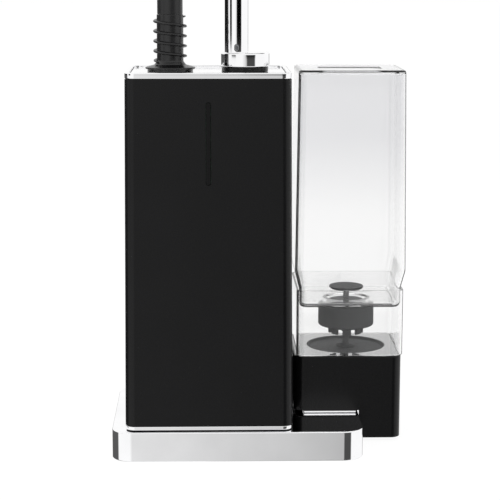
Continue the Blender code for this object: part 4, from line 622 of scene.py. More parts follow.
class STEAMER_OT_hose(bpy.types.Operator):
    """Model the boot, its kink guard and the hose"""

    bl_idname = "steamer.hose"
    bl_label = "Hose"

    def execute(self, context):
        sizes = context.scene.steamer_sizes
        rubber = finish(context, moulded_epdm_rubber)
        low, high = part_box("hose_boot")
        radius = sizes.boot_radius
        rim = low.z + 2.0 * MM
        boot = turned("boot", HOSE_AXIS, [
            (6.0 * MM, low.z), (20.9 * MM, low.z), (20.9 * MM, rim), (22.8 * MM, rim, 0.5 * MM),
            (22.8 * MM, rim + 1.6 * MM, 0.7 * MM), (radius + 2.6 * MM, rim + 3.8 * MM, 2.0 * MM),
            (radius, rim + 7.0 * MM, 3.0 * MM), (radius, high.z, 0.6 * MM), (6.0 * MM, high.z)], closed=True)
        done(boot, "root", rubber, "rubber", "hose_boot")
        self.guard(radius, high.z - 1.6 * MM, rubber)
        self.hose(context, sizes.hose_diameter)
        return {"FINISHED"}

    def guard(self, boot_radius, top, rubber):
        """One rib wound round the boot, thin at its start."""
        leave()
        bpy.ops.curve.primitive_bezier_circle_add(radius=1.0)
        section = bpy.context.active_object
        section.scale = (1.75 * MM, 1.3 * MM, 1.0)
        bpy.ops.object.transform_apply(location=False, rotation=False, scale=True)
        section.data.resolution_u = 4
        per_turn = 48
        count = round(4.6 * per_turn) + 1
        radius = boot_radius + 1.6 * MM
        points = []
        for i in range(count):
            turn = i / per_turn
            angle = math.tau * (turn + 0.25)
            points.append((HOSE_AXIS[0] + radius * math.sin(angle), HOSE_AXIS[1] - radius * math.cos(angle),
                           top - 9.0 * MM * turn))
        guard = line_curve("kink_guard", points)
        guard.data.twist_mode = "Z_UP"
        guard.data.bevel_mode = "OBJECT"
        guard.data.bevel_object = section
        for i, point in enumerate(guard.data.splines[0].points):
            point.radius = min(1.0, 0.35 + i / 10, 0.35 + (count - 1 - i) / 10)
        guard = meshed(guard)
        take(section)
        bpy.ops.object.delete()
        done(guard, "root", rubber, "rubber", "hose_kink_guard")

    def hose(self, context, diameter):
        """The hose as one curve, from the boot to the head."""
        route = hose_route()
        hose = line_curve("hose", route)
        hose.data.bevel_depth = diameter / 2
        hose.data.bevel_resolution = 10
        hose.data.splines[0].use_smooth = True
        hose.data.materials.append(finish(context, knitted_hose_cover))
        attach(hose, "root")
        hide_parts("steam_hose", "hose_coil")


class STEAMER_OT_base(bpy.types.Operator):
    """Model the chromed base plate"""

    bl_idname = "steamer.base"
    bl_label = "Base plate"

    def execute(self, context):
        sizes = context.scene.steamer_sizes
        low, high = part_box("base_plate")
        plate = slab("chrome_base", low, high, sizes.plate_corner, 20)
        soften(plate, at(2, high.z), sizes.plate_edge, 6)
        soften(plate, at(2, low.z), 0.8 * MM, 3)
        pick(plate, "FACE", facing(2, -1))
        bpy.ops.mesh.inset(thickness=2.2 * MM)
        bpy.ops.mesh.extrude_region_move(TRANSFORM_OT_translate={"value": (0, 0, high.z - low.z - 3.0 * MM)})
        leave()
        done(plate, "root", finish(context, plated_chrome), "chrome", "base_plate")
        return {"FINISHED"}


class STEAMER_OT_housing(bpy.types.Operator):
    """Model the housing with its chromed trims, top cover and control strip"""

    bl_idname = "steamer.housing"
    bl_label = "Housing"

    def execute(self, context):
        sizes = context.scene.steamer_sizes
        chrome = finish(context, plated_chrome)
        black = finish(context, moulded_black_abs)
        corner = sizes.body_corner
        for name, node, depth, edge in (("lower_trim", "lower_trim_ring", 4.5 * MM, sizes.trim_edge),
                                        ("upper_trim", "upper_trim_ring", 4.0 * MM, 2 * sizes.trim_edge)):
            trim = band(name, *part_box(node), corner, depth, edge)
            done(trim, "root", chrome, "chrome", node)

        low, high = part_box("housing")
        top = radius_of("upper_trim_ring") / radius_of("housing")
        shell = band("housing_shell", low, high, corner, sizes.body_wall, 0.4 * MM, top)
        strip_low, strip_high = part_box("control_strip")
        gap = Vector((SEAT, 0, SEAT))
        slot_low = strip_low - gap
        slot_high = strip_high + gap
        slot_low.y = low.y - 5.0 * MM
        slot_high.y = low.y + 8.0 * MM
        inlet_low, inlet_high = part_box("power_inlet")
        flange = Vector((4.0 * MM, 0, 4.0 * MM))
        hole_low = inlet_low + flange - gap
        hole_high = inlet_high - flange + gap
        hole_high.y = high.y + 5.0 * MM
        hole_low.y = high.y - 8.0 * MM
        carve(shell, capsule("strip_slot", slot_low, slot_high), block("inlet_hole", hole_low, hole_high))
        done(shell, "root", black, "black_plastic", "housing")

        strip = capsule("strip_inlay", strip_low, strip_high)
        soften(strip, at(1, strip_low.y), 0.35 * MM, 3)
        done(strip, "root", finish(context, gloss_black_abs), "gloss_black", "control_strip")

        low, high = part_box("top_cover")
        cover = slab("top_panel", low, high, corner - 4.3 * MM)
        soften(cover, at(2, high.z), 0.4 * MM, 2)
        carve(cover,
              rod("boot_hole", HOSE_AXIS, 6 * MM, low.z - MM, high.z + MM),
              rod("pole_hole", POLE_AXIS, 13.75 * MM, low.z - MM, high.z + MM))
        done(cover, "root", chrome, "chrome", "top_cover")
        return {"FINISHED"}


class STEAMER_OT_inlet(bpy.types.Operator):
    """Model the power inlet and its three pins"""

    bl_idname = "steamer.inlet"
    bl_label = "Power inlet"

    def execute(self, context):
        low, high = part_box("power_inlet")
        middle = (low + high) / 2
        inlet = capsule("inlet_block", (low.x + 4 * MM, low.y, low.z + 4 * MM),
                        (high.x - 4 * MM, high.y - 0.5 * MM, high.z - 4 * MM), 2.0 * MM, 4)
        flange = capsule("inlet_flange", (low.x, high.y - 2.0 * MM, low.z), high, 3.0 * MM, 6)
        soften(flange, at(1, high.y), 0.6 * MM, 3)
        carve(inlet, flange, operation="UNION")
        half = Vector((12.0 * MM, 0, 8.0 * MM))
        recess_low = middle - half
        recess_high = middle + half
        recess_low.y = high.y - 17.0 * MM
        recess_high.y = high.y + 5.0 * MM
        carve(inlet, capsule("inlet_recess", recess_low, recess_high, 3.0 * MM, 5))
        done(inlet, "root", finish(context, moulded_black_abs), "black_plastic", "power_inlet")
        for number, (x, z) in enumerate(((-7.0, -2.0), (0.0, 2.0), (7.0, -2.0)), 1):
            place = Vector((middle.x + x * MM, 0, middle.z + z * MM))
            pin = block(f"inlet_pin_{number}", (place.x - MM, recess_low.y - MM, place.z - 2.0 * MM),
                        (place.x + MM, high.y - 4.0 * MM, place.z + 2.0 * MM))
            soften_sharp(pin, 0.4 * MM, 2)
            done(pin, "root", finish(context, brushed_stainless), "steel")
        return {"FINISHED"}


class STEAMER_OT_pole(bpy.types.Operator):
    """Model the pole's socket, collar, tubes, lock rings, button with its spring, and cap"""

    bl_idname = "steamer.pole"
    bl_label = "Pole"

    def execute(self, context):
        sizes = context.scene.steamer_sizes
        chrome = finish(context, plated_chrome)
        tube_finish = finish(context, drawn_chrome_tube)
        black = finish(context, moulded_black_abs)

        low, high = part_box("pole_socket")
        ring_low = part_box("top_cover")[1].z + SEAT
        radius = radius_of("pole_socket")
        socket = turned("socket", COLLAR_AXIS, [
            (0, ring_low), (radius, ring_low, 0.4 * MM), (radius, high.z, 0.8 * MM), (0, high.z)], 96)
        sleeve = rod("socket_tube", POLE_AXIS, 13.45 * MM, low.z, ring_low + 2.3 * MM)
        carve(socket, sleeve, operation="UNION")
        carve(socket, rod("socket_bore", POLE_AXIS, POLE_BORE, low.z + 3.0 * MM, high.z + 5.0 * MM))
        done(socket, "root", black, "black_plastic", "pole_socket")

        low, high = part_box("pole_collar")
        edge = sizes.collar_edge
        radius = radius_of("pole_collar")
        collar = turned("collar", COLLAR_AXIS, [
            (0, low.z), (radius, low.z, 0.5 * edge), (radius, high.z, edge), (0, high.z)], 96)
        carve(collar, rod("collar_bore", POLE_AXIS, POLE_BORE, low.z - MM, high.z + MM))
        done(collar, "root", chrome, "chrome", "pole_collar")

        button_low, button_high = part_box("pole_lock_button")
        gap = Vector((SEAT, 0, SEAT))
        hole_low = button_low - gap
        hole_high = button_high + gap
        hole_low.y -= 10.0 * MM
        lower = self.tube("lower_tube", "pole_lower", LOWER_TUBE)
        carve(lower, capsule("button_hole", hole_low, hole_high))
        done(lower, "root", tube_finish, "chrome", "pole_lower")
        button = capsule("lock_button", button_low, button_high)
        soften(button, at(1, button_low.y), 1.2 * MM, 5)
        done(button, "lock_button", finish(context, burnished_steel), "steel", "pole_lock_button")
        self.button_spring(finish(context, brushed_stainless))

        done(self.tube("middle_tube", "pole_mid", MIDDLE_TUBE), "pole_mid", tube_finish, "chrome", "pole_mid")
        done(self.tube("upper_tube", "pole_upper", UPPER_TUBE), "pole_upper", tube_finish, "chrome",
             "pole_upper")
        for name, node, body, outer, inner in (
                ("lower_twist_lock", "lower_lock_ring", "lower_lock", LOWER_TUBE, MIDDLE_TUBE),
                ("middle_twist_lock", "mid_lock_ring", "mid_lock", MIDDLE_TUBE, UPPER_TUBE)):
            done(self.lock_ring(name, node, outer + SEAT, inner + SEAT), body, black, "black_plastic", node)

        low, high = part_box("pole_top_cap")
        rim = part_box("pole_upper")[1].z + SEAT
        cap = turned("pole_end_cap", POLE_AXIS, [
            (0, high.z), (9.5 * MM, high.z, 4.5 * MM), (9.5 * MM, rim, 0.8 * MM), (6.25 * MM, rim),
            (6.25 * MM, low.z, 0.8 * MM), (0, low.z)])
        done(cap, "pole_upper", black, "black_plastic", "pole_top_cap")
        return {"FINISHED"}

    def button_spring(self, steel):
        """A hairpin between the button and the tube's back, in one fixed shape; the real one closes as the
        button is pressed.
        """
        low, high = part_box("lock_button_spring")
        radius = 0.6 * MM
        front = low.y + radius
        back = high.y - radius
        bend = (back - front) / 2
        steps = 16
        points = [Vector((POLE_AXIS.x, front, high.z))]
        for i in range(steps + 1):
            angle = math.pi * i / steps
            points.append(Vector((POLE_AXIS.x, front + bend - bend * math.cos(angle),
                                  low.z + radius + bend - bend * math.sin(angle))))
        points.append(Vector((POLE_AXIS.x, back, high.z)))
        spring = done(wire("button_hairpin", points, radius), None, steel, "steel", "lock_button_spring")
        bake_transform(spring)

    def tube(self, name, node, radius):
        """One tube of the telescopic pole with eased ends."""
        low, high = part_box(node)
        inside = radius - 1.2 * MM
        return turned(name, POLE_AXIS, [
            (radius, low.z, 0.3 * MM), (radius, high.z, 0.4 * MM), (inside, high.z, 0.4 * MM),
            (inside, low.z, 0.3 * MM)], 96, closed=True)

    def lock_ring(self, name, node, bore, lip):
        """A twist lock with fluted grip."""
        low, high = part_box(node)
        outside = bore + 3.4 * MM
        shelf = high.z - 10.0 * MM
        ring = turned(name, POLE_AXIS, [
            (bore, low.z), (outside, low.z, 1.4 * MM), (outside, low.z + 3.5 * MM),
            (outside, high.z - 3.5 * MM), (outside, high.z, 1.6 * MM), (lip, high.z, 0.4 * MM),
            (lip, shelf), (bore, shelf)], 96, closed=True)
        flute(ring, POLE_AXIS, outside, 24, 0.45 * MM, low.z + 3.0 * MM, high.z - 3.0 * MM)
        return ring


class STEAMER_OT_carriers(bpy.types.Operator):
    """Model the saddle under the hose's coil and the cradle of the steam head"""

    bl_idname = "steamer.carriers"
    bl_label = "Saddle and cradle"

    def execute(self, context):
        black = finish(context, moulded_black_abs)
        done(self.saddle(), "root", black, "black_plastic", "hose_saddle")
        done(self.cradle(), "root", black, "black_plastic", "head_cradle")
        return {"FINISHED"}

    def saddle(self):
        """An arched trough on a bar that is clamped to the pole."""
        box_low, box_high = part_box("hose_saddle")
        inner = 98.1 * MM
        seat = 105.1 * MM
        tip = 114.0 * MM
        front = -8.6 * MM
        back = 48.4 * MM
        lip = 4.2 * MM
        outline = eased([
            (inner, front - lip, 3.0 * MM), (inner, back + lip, 3.0 * MM), (tip, back + lip, 1.9 * MM),
            (tip, back, 1.9 * MM), (seat, back, 3.0 * MM), (seat, front, 3.0 * MM), (tip, front, 1.9 * MM),
            (tip, front - lip, 1.9 * MM)])
        start = math.radians(62.0)
        reach = math.radians(59.0)
        points = [Vector((COIL_MIDDLE[0] + r * math.cos(start), y, COIL_MIDDLE[1] + r * math.sin(start)))
                  for r, y in outline]
        saddle = drawn("saddle", points)
        bpy.ops.mesh.edge_face_add()
        bpy.ops.mesh.spin(steps=30, angle=reach, center=(COIL_MIDDLE[0], 0, COIL_MIDDLE[1]), axis=(0, 1, 0))
        close_up(saddle)
        bar_x = COIL_MIDDLE[0] + (seat - 3.5 * MM) * math.cos(start + reach)
        bar_top = COIL_MIDDLE[1] + inner * math.sin(start + reach) + 2.3 * MM
        bar = block("saddle_bar", (bar_x - 3.5 * MM, POLE_AXIS[1], bar_top - 14.0 * MM),
                    (bar_x + 14.0 * MM, back + 3.0 * MM, bar_top))
        soften(bar, along(1), 2.0 * MM, 4)
        clamp = turned("saddle_clamp", POLE_AXIS, [
            (0, bar_top - 20.0 * MM), (CLAMP_RADIUS, bar_top - 20.0 * MM, 1.5 * MM),
            (CLAMP_RADIUS, bar_top - SEAT, 1.5 * MM), (0, bar_top - SEAT)])
        carve(saddle, bar, clamp, operation="UNION")
        carve(saddle, rod("saddle_bore", POLE_AXIS, POLE_BORE, box_low.z - 5 * MM, box_high.z + 5 * MM))
        return saddle

    def cradle(self):
        """A fork for the head's neck on an arm that is clamped to the pole."""
        low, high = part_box("head_cradle")
        low_z = low.z + SEAT
        cradle = turned("cradle", HEAD_AXIS, [
            (0, low_z), (21.3 * MM, low_z, 2.0 * MM), (21.3 * MM, high.z, 2.0 * MM), (0, high.z)])
        ring = turned("cradle_clamp", POLE_AXIS, [
            (0, low.z), (CLAMP_RADIUS, low.z, 1.5 * MM), (CLAMP_RADIUS, high.z - SEAT, 1.5 * MM),
            (0, high.z - SEAT)])
        across = Vector(POLE_AXIS) - Vector(HEAD_AXIS)
        middle = (Vector(POLE_AXIS) + Vector(HEAD_AXIS)) / 2
        half = Vector((across.length / 2, 8.5 * MM))
        arm = block("cradle_arm", (*(middle - half), low_z + SEAT), (*(middle + half), high.z - 2 * SEAT),
                    math.atan2(across.y, across.x))
        soften(arm, lambda edge: abs((edge.verts[0].co - edge.verts[1].co).normalized().xy.dot(
            across.normalized())) > 0.99, 2.0 * MM, 4)
        carve(cradle, ring, arm, operation="UNION")
        below = low.z - 5.0 * MM
        above = high.z + 5.0 * MM
        slot = 13.3 * MM
        mouth = slot - 0.05 * MM
        carve(cradle,
              rod("cradle_bore", POLE_AXIS, POLE_BORE, below, above, 60),
              rod("fork_seat", HEAD_AXIS, slot, below, above),
              block("fork_mouth", (HEAD_AXIS[0] - 40.0 * MM, HEAD_AXIS[1] - mouth, below),
                    (HEAD_AXIS[0], HEAD_AXIS[1] + mouth, above)))
        return cradle


class STEAMER_OT_head(bpy.types.Operator):
    """Model the steam head: swivel, handle, body, steam plate and trigger"""

    bl_idname = "steamer.head"
    bl_label = "Steam head"

    def execute(self, context):
        black = finish(context, moulded_black_abs)
        low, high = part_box("hose_swivel")
        step = (high.z - low.z) / 4
        swivel = turned("swivel", HEAD_AXIS, [
            (0, low.z), (12.4 * MM, low.z, 0.8 * MM), (13.5 * MM, low.z + step, 2.0 * MM),
            (13.5 * MM, low.z + 1.7 * step, 0.3 * MM), (12.7 * MM, low.z + 1.8 * step, 0.3 * MM),
            (12.7 * MM, low.z + 2.1 * step, 0.3 * MM), (13.5 * MM, low.z + 2.2 * step, 0.3 * MM),
            (13.5 * MM, high.z - step, 2.0 * MM), (12.1 * MM, high.z, 0.8 * MM), (0, high.z)])
        done(swivel, "root", black, "black_plastic", "hose_swivel")

        low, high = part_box("head_handle")
        trigger_low, trigger_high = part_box("steam_trigger")
        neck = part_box("head_cradle")[0].z - SEAT
        handle = turned("handle", HEAD_AXIS, [
            (0, low.z), (15.0 * MM, low.z, 1.2 * MM), (17.0 * MM, low.z + 15.6 * MM, 12.0 * MM),
            (17.0 * MM, neck - 16.0 * MM, 12.0 * MM), (16.0 * MM, neck - 4.0 * MM, 3.0 * MM),
            (13.0 * MM, neck, 1.0 * MM), (13.0 * MM, high.z), (0, high.z)])
        gap = Vector((SEAT, 0, SEAT))
        pocket_high = trigger_high + gap
        pocket_high.y += 3.0 * MM + SEAT
        carve(handle, capsule("trigger_pocket", trigger_low - gap, pocket_high))
        done(handle, "root", black, "black_plastic", "head_handle")
        trigger = capsule("trigger", trigger_low, trigger_high)
        soften(trigger, at(1, trigger_low.y), 2.0 * MM, 6)
        done(trigger, "trigger", finish(context, moulded_grey_pp), "grey_plastic", "steam_trigger")

        low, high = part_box("head_body")
        head = slab("head_shell", low, high, 14.0 * MM)
        soften(head, at(2, high.z), 5.0 * MM, 6)
        soften(head, at(2, low.z), 9.0 * MM, 8)
        plate_low, plate_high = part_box("steam_plate")
        corner = (plate_high.z - plate_low.z) / 5
        seat_low = plate_low - gap
        seat_high = plate_high + gap
        seat_low.y -= 3.0 * MM
        seat_high.y += SEAT
        carve(head, capsule("plate_seat", seat_low, seat_high, corner))
        done(head, "root", black, "black_plastic", "head_body")

        plate = capsule("head_plate", plate_low, plate_high, corner)
        soften(plate, at(1, plate_low.y), 0.8 * MM, 3)
        middle = (plate_low + plate_high) / 2
        span = plate_high.x - plate_low.x
        for number in range(6):
            x = plate_low.x + span * (number + 0.5) / 6
            half = Vector((2.2 * MM, 5.0 * MM, 2.2 * MM))
            place = Vector((x, middle.y, middle.z))
            carve(plate, capsule(f"steam_hole_{number}", place - half, place + half))
        done(plate, "root", finish(context, brushed_stainless), "steel", "steam_plate")
        return {"FINISHED"}


class STEAMER_OT_dock(bpy.types.Operator):
    """Model the tank's dock, its trim, sleeve, well cup, pin and feet"""

    bl_idname = "steamer.dock"
    bl_label = "Tank dock"

    def execute(self, context):
        sizes = context.scene.steamer_sizes
        black = finish(context, moulded_black_abs)
        grey = finish(context, moulded_grey_pp)
        low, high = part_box("tank_dock")
        corner = sizes.dock_corner
        wall = 3.0 * MM
        dock = slab("dock", low, high, corner)
        soften(dock, at(2, high.z), 1.0 * MM, 4)
        soften(dock, at(2, low.z), 0.6 * MM, 2)
        inset = Vector((wall, wall, 0))
        floor = high.z - 9.4 * MM
        well = 38.2 * MM
        well_floor = high.z - 4.0 * MM
        hollow_high = high - inset
        hollow_high.z = floor
        plate_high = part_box("base_plate")[1]
        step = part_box("dock_trim")[1].z + SEAT
        carve(dock, slab("dock_hollow", low + inset - Vector((0, 0, 5 * MM)), hollow_high, corner - wall))
        for number in (1, 2):
            foot_low, foot_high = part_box(f"dock_foot_{number}")
            middle = (foot_low + foot_high) / 2
            radius = 1.5 * (foot_high.x - foot_low.x) / 2
            pad = rod(f"foot_pad_{number}", middle.xy, radius, low.z, floor + MM, 32)
            carve(dock, pad, operation="UNION")
        carve(dock,
              block("dock_step", (low.x - wall, low.y - wall, -wall),
                    (plate_high.x + 2 * SEAT, high.y + wall, step)),
              rod("dock_well", TANK_AXIS, well, well_floor, high.z + 5.0 * MM, 96),
              rod("dock_drain", TANK_AXIS, 2.5 * MM, floor - 5.0 * MM, high.z, 32))
        done(dock, "root", black, "black_plastic", "tank_dock")

        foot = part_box("dock_trim")[0].z
        bridge = block("dock_bridge", (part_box("housing")[1].x + SEAT, low.y + 12.0 * MM, foot + 5.0 * MM),
                       (low.x - SEAT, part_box("housing")[1].y - 12.0 * MM, high.z - 2.0 * MM))
        soften_sharp(bridge, 0.5 * MM)
        done(bridge, "root", black, "black_plastic")

        deck_low = low + Vector((1.6 * MM, 1.6 * MM, 0))
        deck_high = high - Vector((1.6 * MM, 1.6 * MM, 0))
        deck_low.z = high.z + 0.02 * MM
        deck_high.z = high.z + 0.2 * MM
        deck = slab("dock_deck", deck_low, deck_high, corner - 1.6 * MM)
        carve(deck, rod("deck_hole", TANK_AXIS, well, high.z - MM, high.z + MM, 96))
        done(deck, "root", finish(context, polished_black_acrylic), "gloss_black")

        low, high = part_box("dock_trim")
        trim = block("dock_strip", low, high)
        soften_sharp(trim, 1.1 * MM, 5)
        done(trim, "root", finish(context, plated_chrome), "chrome", "dock_trim")

        sleeve = band("clear_sleeve", *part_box("dock_sleeve"), 8.0 * MM, 2.0 * MM, 0.4 * MM)
        sleeve.visible_shadow = False
        done(sleeve, "root", finish(context, moulded_clear_san), "clear_plastic", "dock_sleeve")

        low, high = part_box("well_cup")
        cup = turned("cup", TANK_AXIS, [
            (36.3 * MM, high.z, 0.5 * MM), (37.9 * MM, high.z, 0.5 * MM), (37.9 * MM, low.z, 1.0 * MM),
            (2.5 * MM, low.z), (2.5 * MM, low.z + 1.6 * MM), (35.0 * MM, low.z + 1.6 * MM, 1.0 * MM)], 96,
            closed=True)
        done(cup, "root", grey, "grey_plastic", "well_cup")
        low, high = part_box("valve_pin")
        pin = turned("pin", TANK_AXIS, [
            (0, low.z), (9.0 * MM, low.z, 0.4 * MM), (9.0 * MM, low.z + 2.0 * MM, 0.6 * MM),
            (3.0 * MM, low.z + 4.0 * MM, 1.0 * MM), (3.0 * MM, high.z, 1.0 * MM), (0, high.z)], 48)
        done(pin, "root", grey, "grey_plastic", "valve_pin")
        return {"FINISHED"}


class STEAMER_OT_tank(bpy.types.Operator):
    """Model the clear tank, its screw cap, seal, valve and valve spring"""

    bl_idname = "steamer.tank"
    bl_label = "Water tank"

    def execute(self, context):
        sizes = context.scene.steamer_sizes
        grey = finish(context, moulded_grey_pp)
        tank = self.tank(sizes)
        tank.visible_shadow = False
        done(tank, "tank", finish(context, moulded_clear_san), "clear_plastic", "water_tank")

        low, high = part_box("tank_cap")
        under = low.z + 5.6 * MM
        floor = under + 10.4 * MM
        radius = 27.0 * MM
        crown = 17.1 * MM
        pocket = under + 7.0 * MM
        cap = turned("screw_cap", TANK_AXIS, [
            (23.6 * MM, high.z, 0.4 * MM), (radius, high.z, 0.8 * MM), (radius, under + 2.6 * MM, 2.2 * MM),
            (crown, under, 0.6 * MM), (crown, low.z, 0.5 * MM), (14.1 * MM, low.z, 0.5 * MM),
            (14.1 * MM, under), (4.7 * MM, under), (4.7 * MM, pocket), (3.1 * MM, pocket), (3.1 * MM, floor),
            (23.6 * MM, floor)], 96, closed=True)
        reach = Vector((20.0 * MM, 2.75 * MM))
        for number in range(4):
            carve(cap, block(f"crown_slot_{number}", (*(TANK_AXIS - reach), low.z - 3.0 * MM),
                             (*(TANK_AXIS + reach), under - SEAT), math.pi * (number + 0.5) / 4))
        done(cap, "cap", grey, "grey_plastic", "tank_cap")

        low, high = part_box("cap_seal")
        seal = turned("seal", TANK_AXIS, [
            (23.3 * MM, low.z, 0.6 * MM), (23.3 * MM, high.z, 0.6 * MM), (19.3 * MM, high.z, 0.6 * MM),
            (19.3 * MM, low.z, 0.6 * MM)], closed=True)
        done(seal, "cap", finish(context, moulded_epdm_rubber), "rubber", "cap_seal")

        low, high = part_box("tank_valve")
        head = floor + SEAT
        stem = 2.8 * MM
        profile = [(0, low.z), (3.9 * MM, low.z, 0.4 * MM), (3.9 * MM, low.z + 2.0 * MM, 0.4 * MM),
                   (stem, low.z + 2.0 * MM)]
        lower_disc = high.z - 14.1 * MM
        upper_disc = high.z - 1.6 * MM
        for disc, level, height in ((10.0 * MM, head, 3.0 * MM), (16.5 * MM, lower_disc, 1.6 * MM),
                                    (16.5 * MM, upper_disc, 1.6 * MM)):
            profile += [(stem, level), (disc, level, 0.5 * MM), (disc, level + height, 0.5 * MM),
                        (stem, level + height)]
        profile[-1] = (0, high.z)
        valve = turned("valve", TANK_AXIS, profile)
        done(valve, "valve", grey, "grey_plastic", "tank_valve")
        self.valve_spring(finish(context, brushed_stainless))
        return {"FINISHED"}

    def valve_spring(self, steel):
        """A coil between the valve's foot and the cap, in one fixed shape; the real one shortens as the valve
        is pushed up.
        """
        low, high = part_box("valve_spring")
        radius = 0.45 * MM
        coil = radius_of("valve_spring") - radius
        turns = 4
        count = 24 * turns
        points = []
        for i in range(count + 1):
            angle = math.tau * turns * i / count
            points.append(Vector((TANK_AXIS.x + coil * math.cos(angle), TANK_AXIS.y + coil * math.sin(angle),
                                  low.z + radius + (high.z - low.z - 2 * radius) * i / count)))
        spring = done(wire("valve_coil", points, radius), None, steel, "steel", "valve_spring")
        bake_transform(spring)

    def tank(self, sizes):
        """A thin-walled jar that narrows to a plug and a threaded neck."""
        low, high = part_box("water_tank")
        wall = sizes.tank_wall
        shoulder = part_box("dock_sleeve")[1].z + SEAT
        full = shoulder + 17.7 * MM
        plug = low.z + 15.4 * MM
        size = (high - low).xy
        sleeve_low, sleeve_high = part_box("dock_sleeve")
        plug_size = (sleeve_high - sleeve_low).xy - Vector((5.0 * MM, 5.0 * MM))
        outer = self.jar("tank_jar", size, sizes.tank_corner, (high.z, full, shoulder, plug), plug_size)
        soften(outer, at(2, high.z), 2.4 * MM, 6)
        soften(outer, at(2, plug), 4.0 * MM, 6)
        thick = Vector((2 * wall, 2 * wall))
        inner = self.jar("tank_hollow", size - thick, sizes.tank_corner - wall,
                         (high.z - 3.0 * MM, full + wall, shoulder + wall, plug + wall), plug_size - thick)
        soften(inner, at(2, high.z - 3.0 * MM), 1.2 * MM, 4)
        soften(inner, at(2, plug + wall), 3.0 * MM, 6)
        x, y = TANK_AXIS
        panel = slab("tank_panel", (x - 30 * MM, y - 28 * MM, high.z - 1.2 * MM),
                     (x + 30 * MM, y + 28 * MM, high.z + 5 * MM), sizes.tank_corner)
        soften(panel, at(2, high.z - 1.2 * MM), 0.4 * MM, 3)
        neck = turned("tank_neck", TANK_AXIS, [
            (0, low.z), (23.0 * MM, low.z, 0.5 * MM), (23.0 * MM, plug + wall / 2), (0, plug + wall / 2)])
        bore = rod("neck_bore", TANK_AXIS, 20.0 * MM, low.z - 2 * MM, plug + 2 * wall)
        carve(outer, inner, panel)
        carve(outer, neck, operation="UNION")
        carve(outer, bore)
        return outer

    def jar(self, name, size, corner, levels, plug_size):
        """A block that is drawn in a little towards its top, and more below, down to a plug."""
        top, full, shoulder, plug = levels
        low = TANK_AXIS - size / 2
        high = TANK_AXIS + size / 2
        piece = slab(name, (*low, full), (*high, top), corner)
        pick(piece, "FACE", facing(2, 1))
        draft = 4.8 * MM
        bpy.ops.transform.resize(value=(1 - draft / size.x, 1 - draft / size.y, 1),
                                 center_override=(*TANK_AXIS, top))
        pick(piece, "FACE", facing(2, -1))
        self.draw_in(full, shoulder, size, plug_size)
        self.draw_in(shoulder, plug, plug_size, plug_size)
        leave()
        return piece

    def draw_in(self, level, next_level, size, next_size):
        """Extrude the selected end to a level and bring it to a size."""
        bpy.ops.mesh.extrude_region_move(TRANSFORM_OT_translate={"value": (0, 0, next_level - level)})
        scale = (next_size[0] / size[0], next_size[1] / size[1], 1)
        bpy.ops.transform.resize(value=scale, center_override=(*TANK_AXIS, next_level))


class STEAMER_OT_works(bpy.types.Operator):
    """Finish the parts that keep their CAD shape: the works inside and the feet"""

    bl_idname = "steamer.works"
    bl_label = "Inner works and feet"

    def execute(self, context):
        kept = {
            # The chassis is steel, but it is finished black so that the shadow gap between the base plate and
            # the lower trim looks dark: painted shade.
            moulded_black_abs: ("base_cover", "chassis", "pump"),
            brushed_stainless: ("base_screw_1", "base_screw_2", "base_screw_3", "base_screw_4", "boiler_pipe",
                                "heating_element", "thermostat", "steam_pipe"),
            cast_aluminium: ("boiler", "boiler_lid"),
            etched_circuit_board: ("control_board",),
            moulded_epdm_rubber: ("foot_1", "foot_2", "foot_3", "foot_4", "dock_foot_1", "dock_foot_2",
                                  "feed_pipe"),
        }
        for make, names in kept.items():
            for name in names:
                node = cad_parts[name]
                node.data.materials.clear()
                node.data.materials.append(finish(context, make))
        return {"FINISHED"}


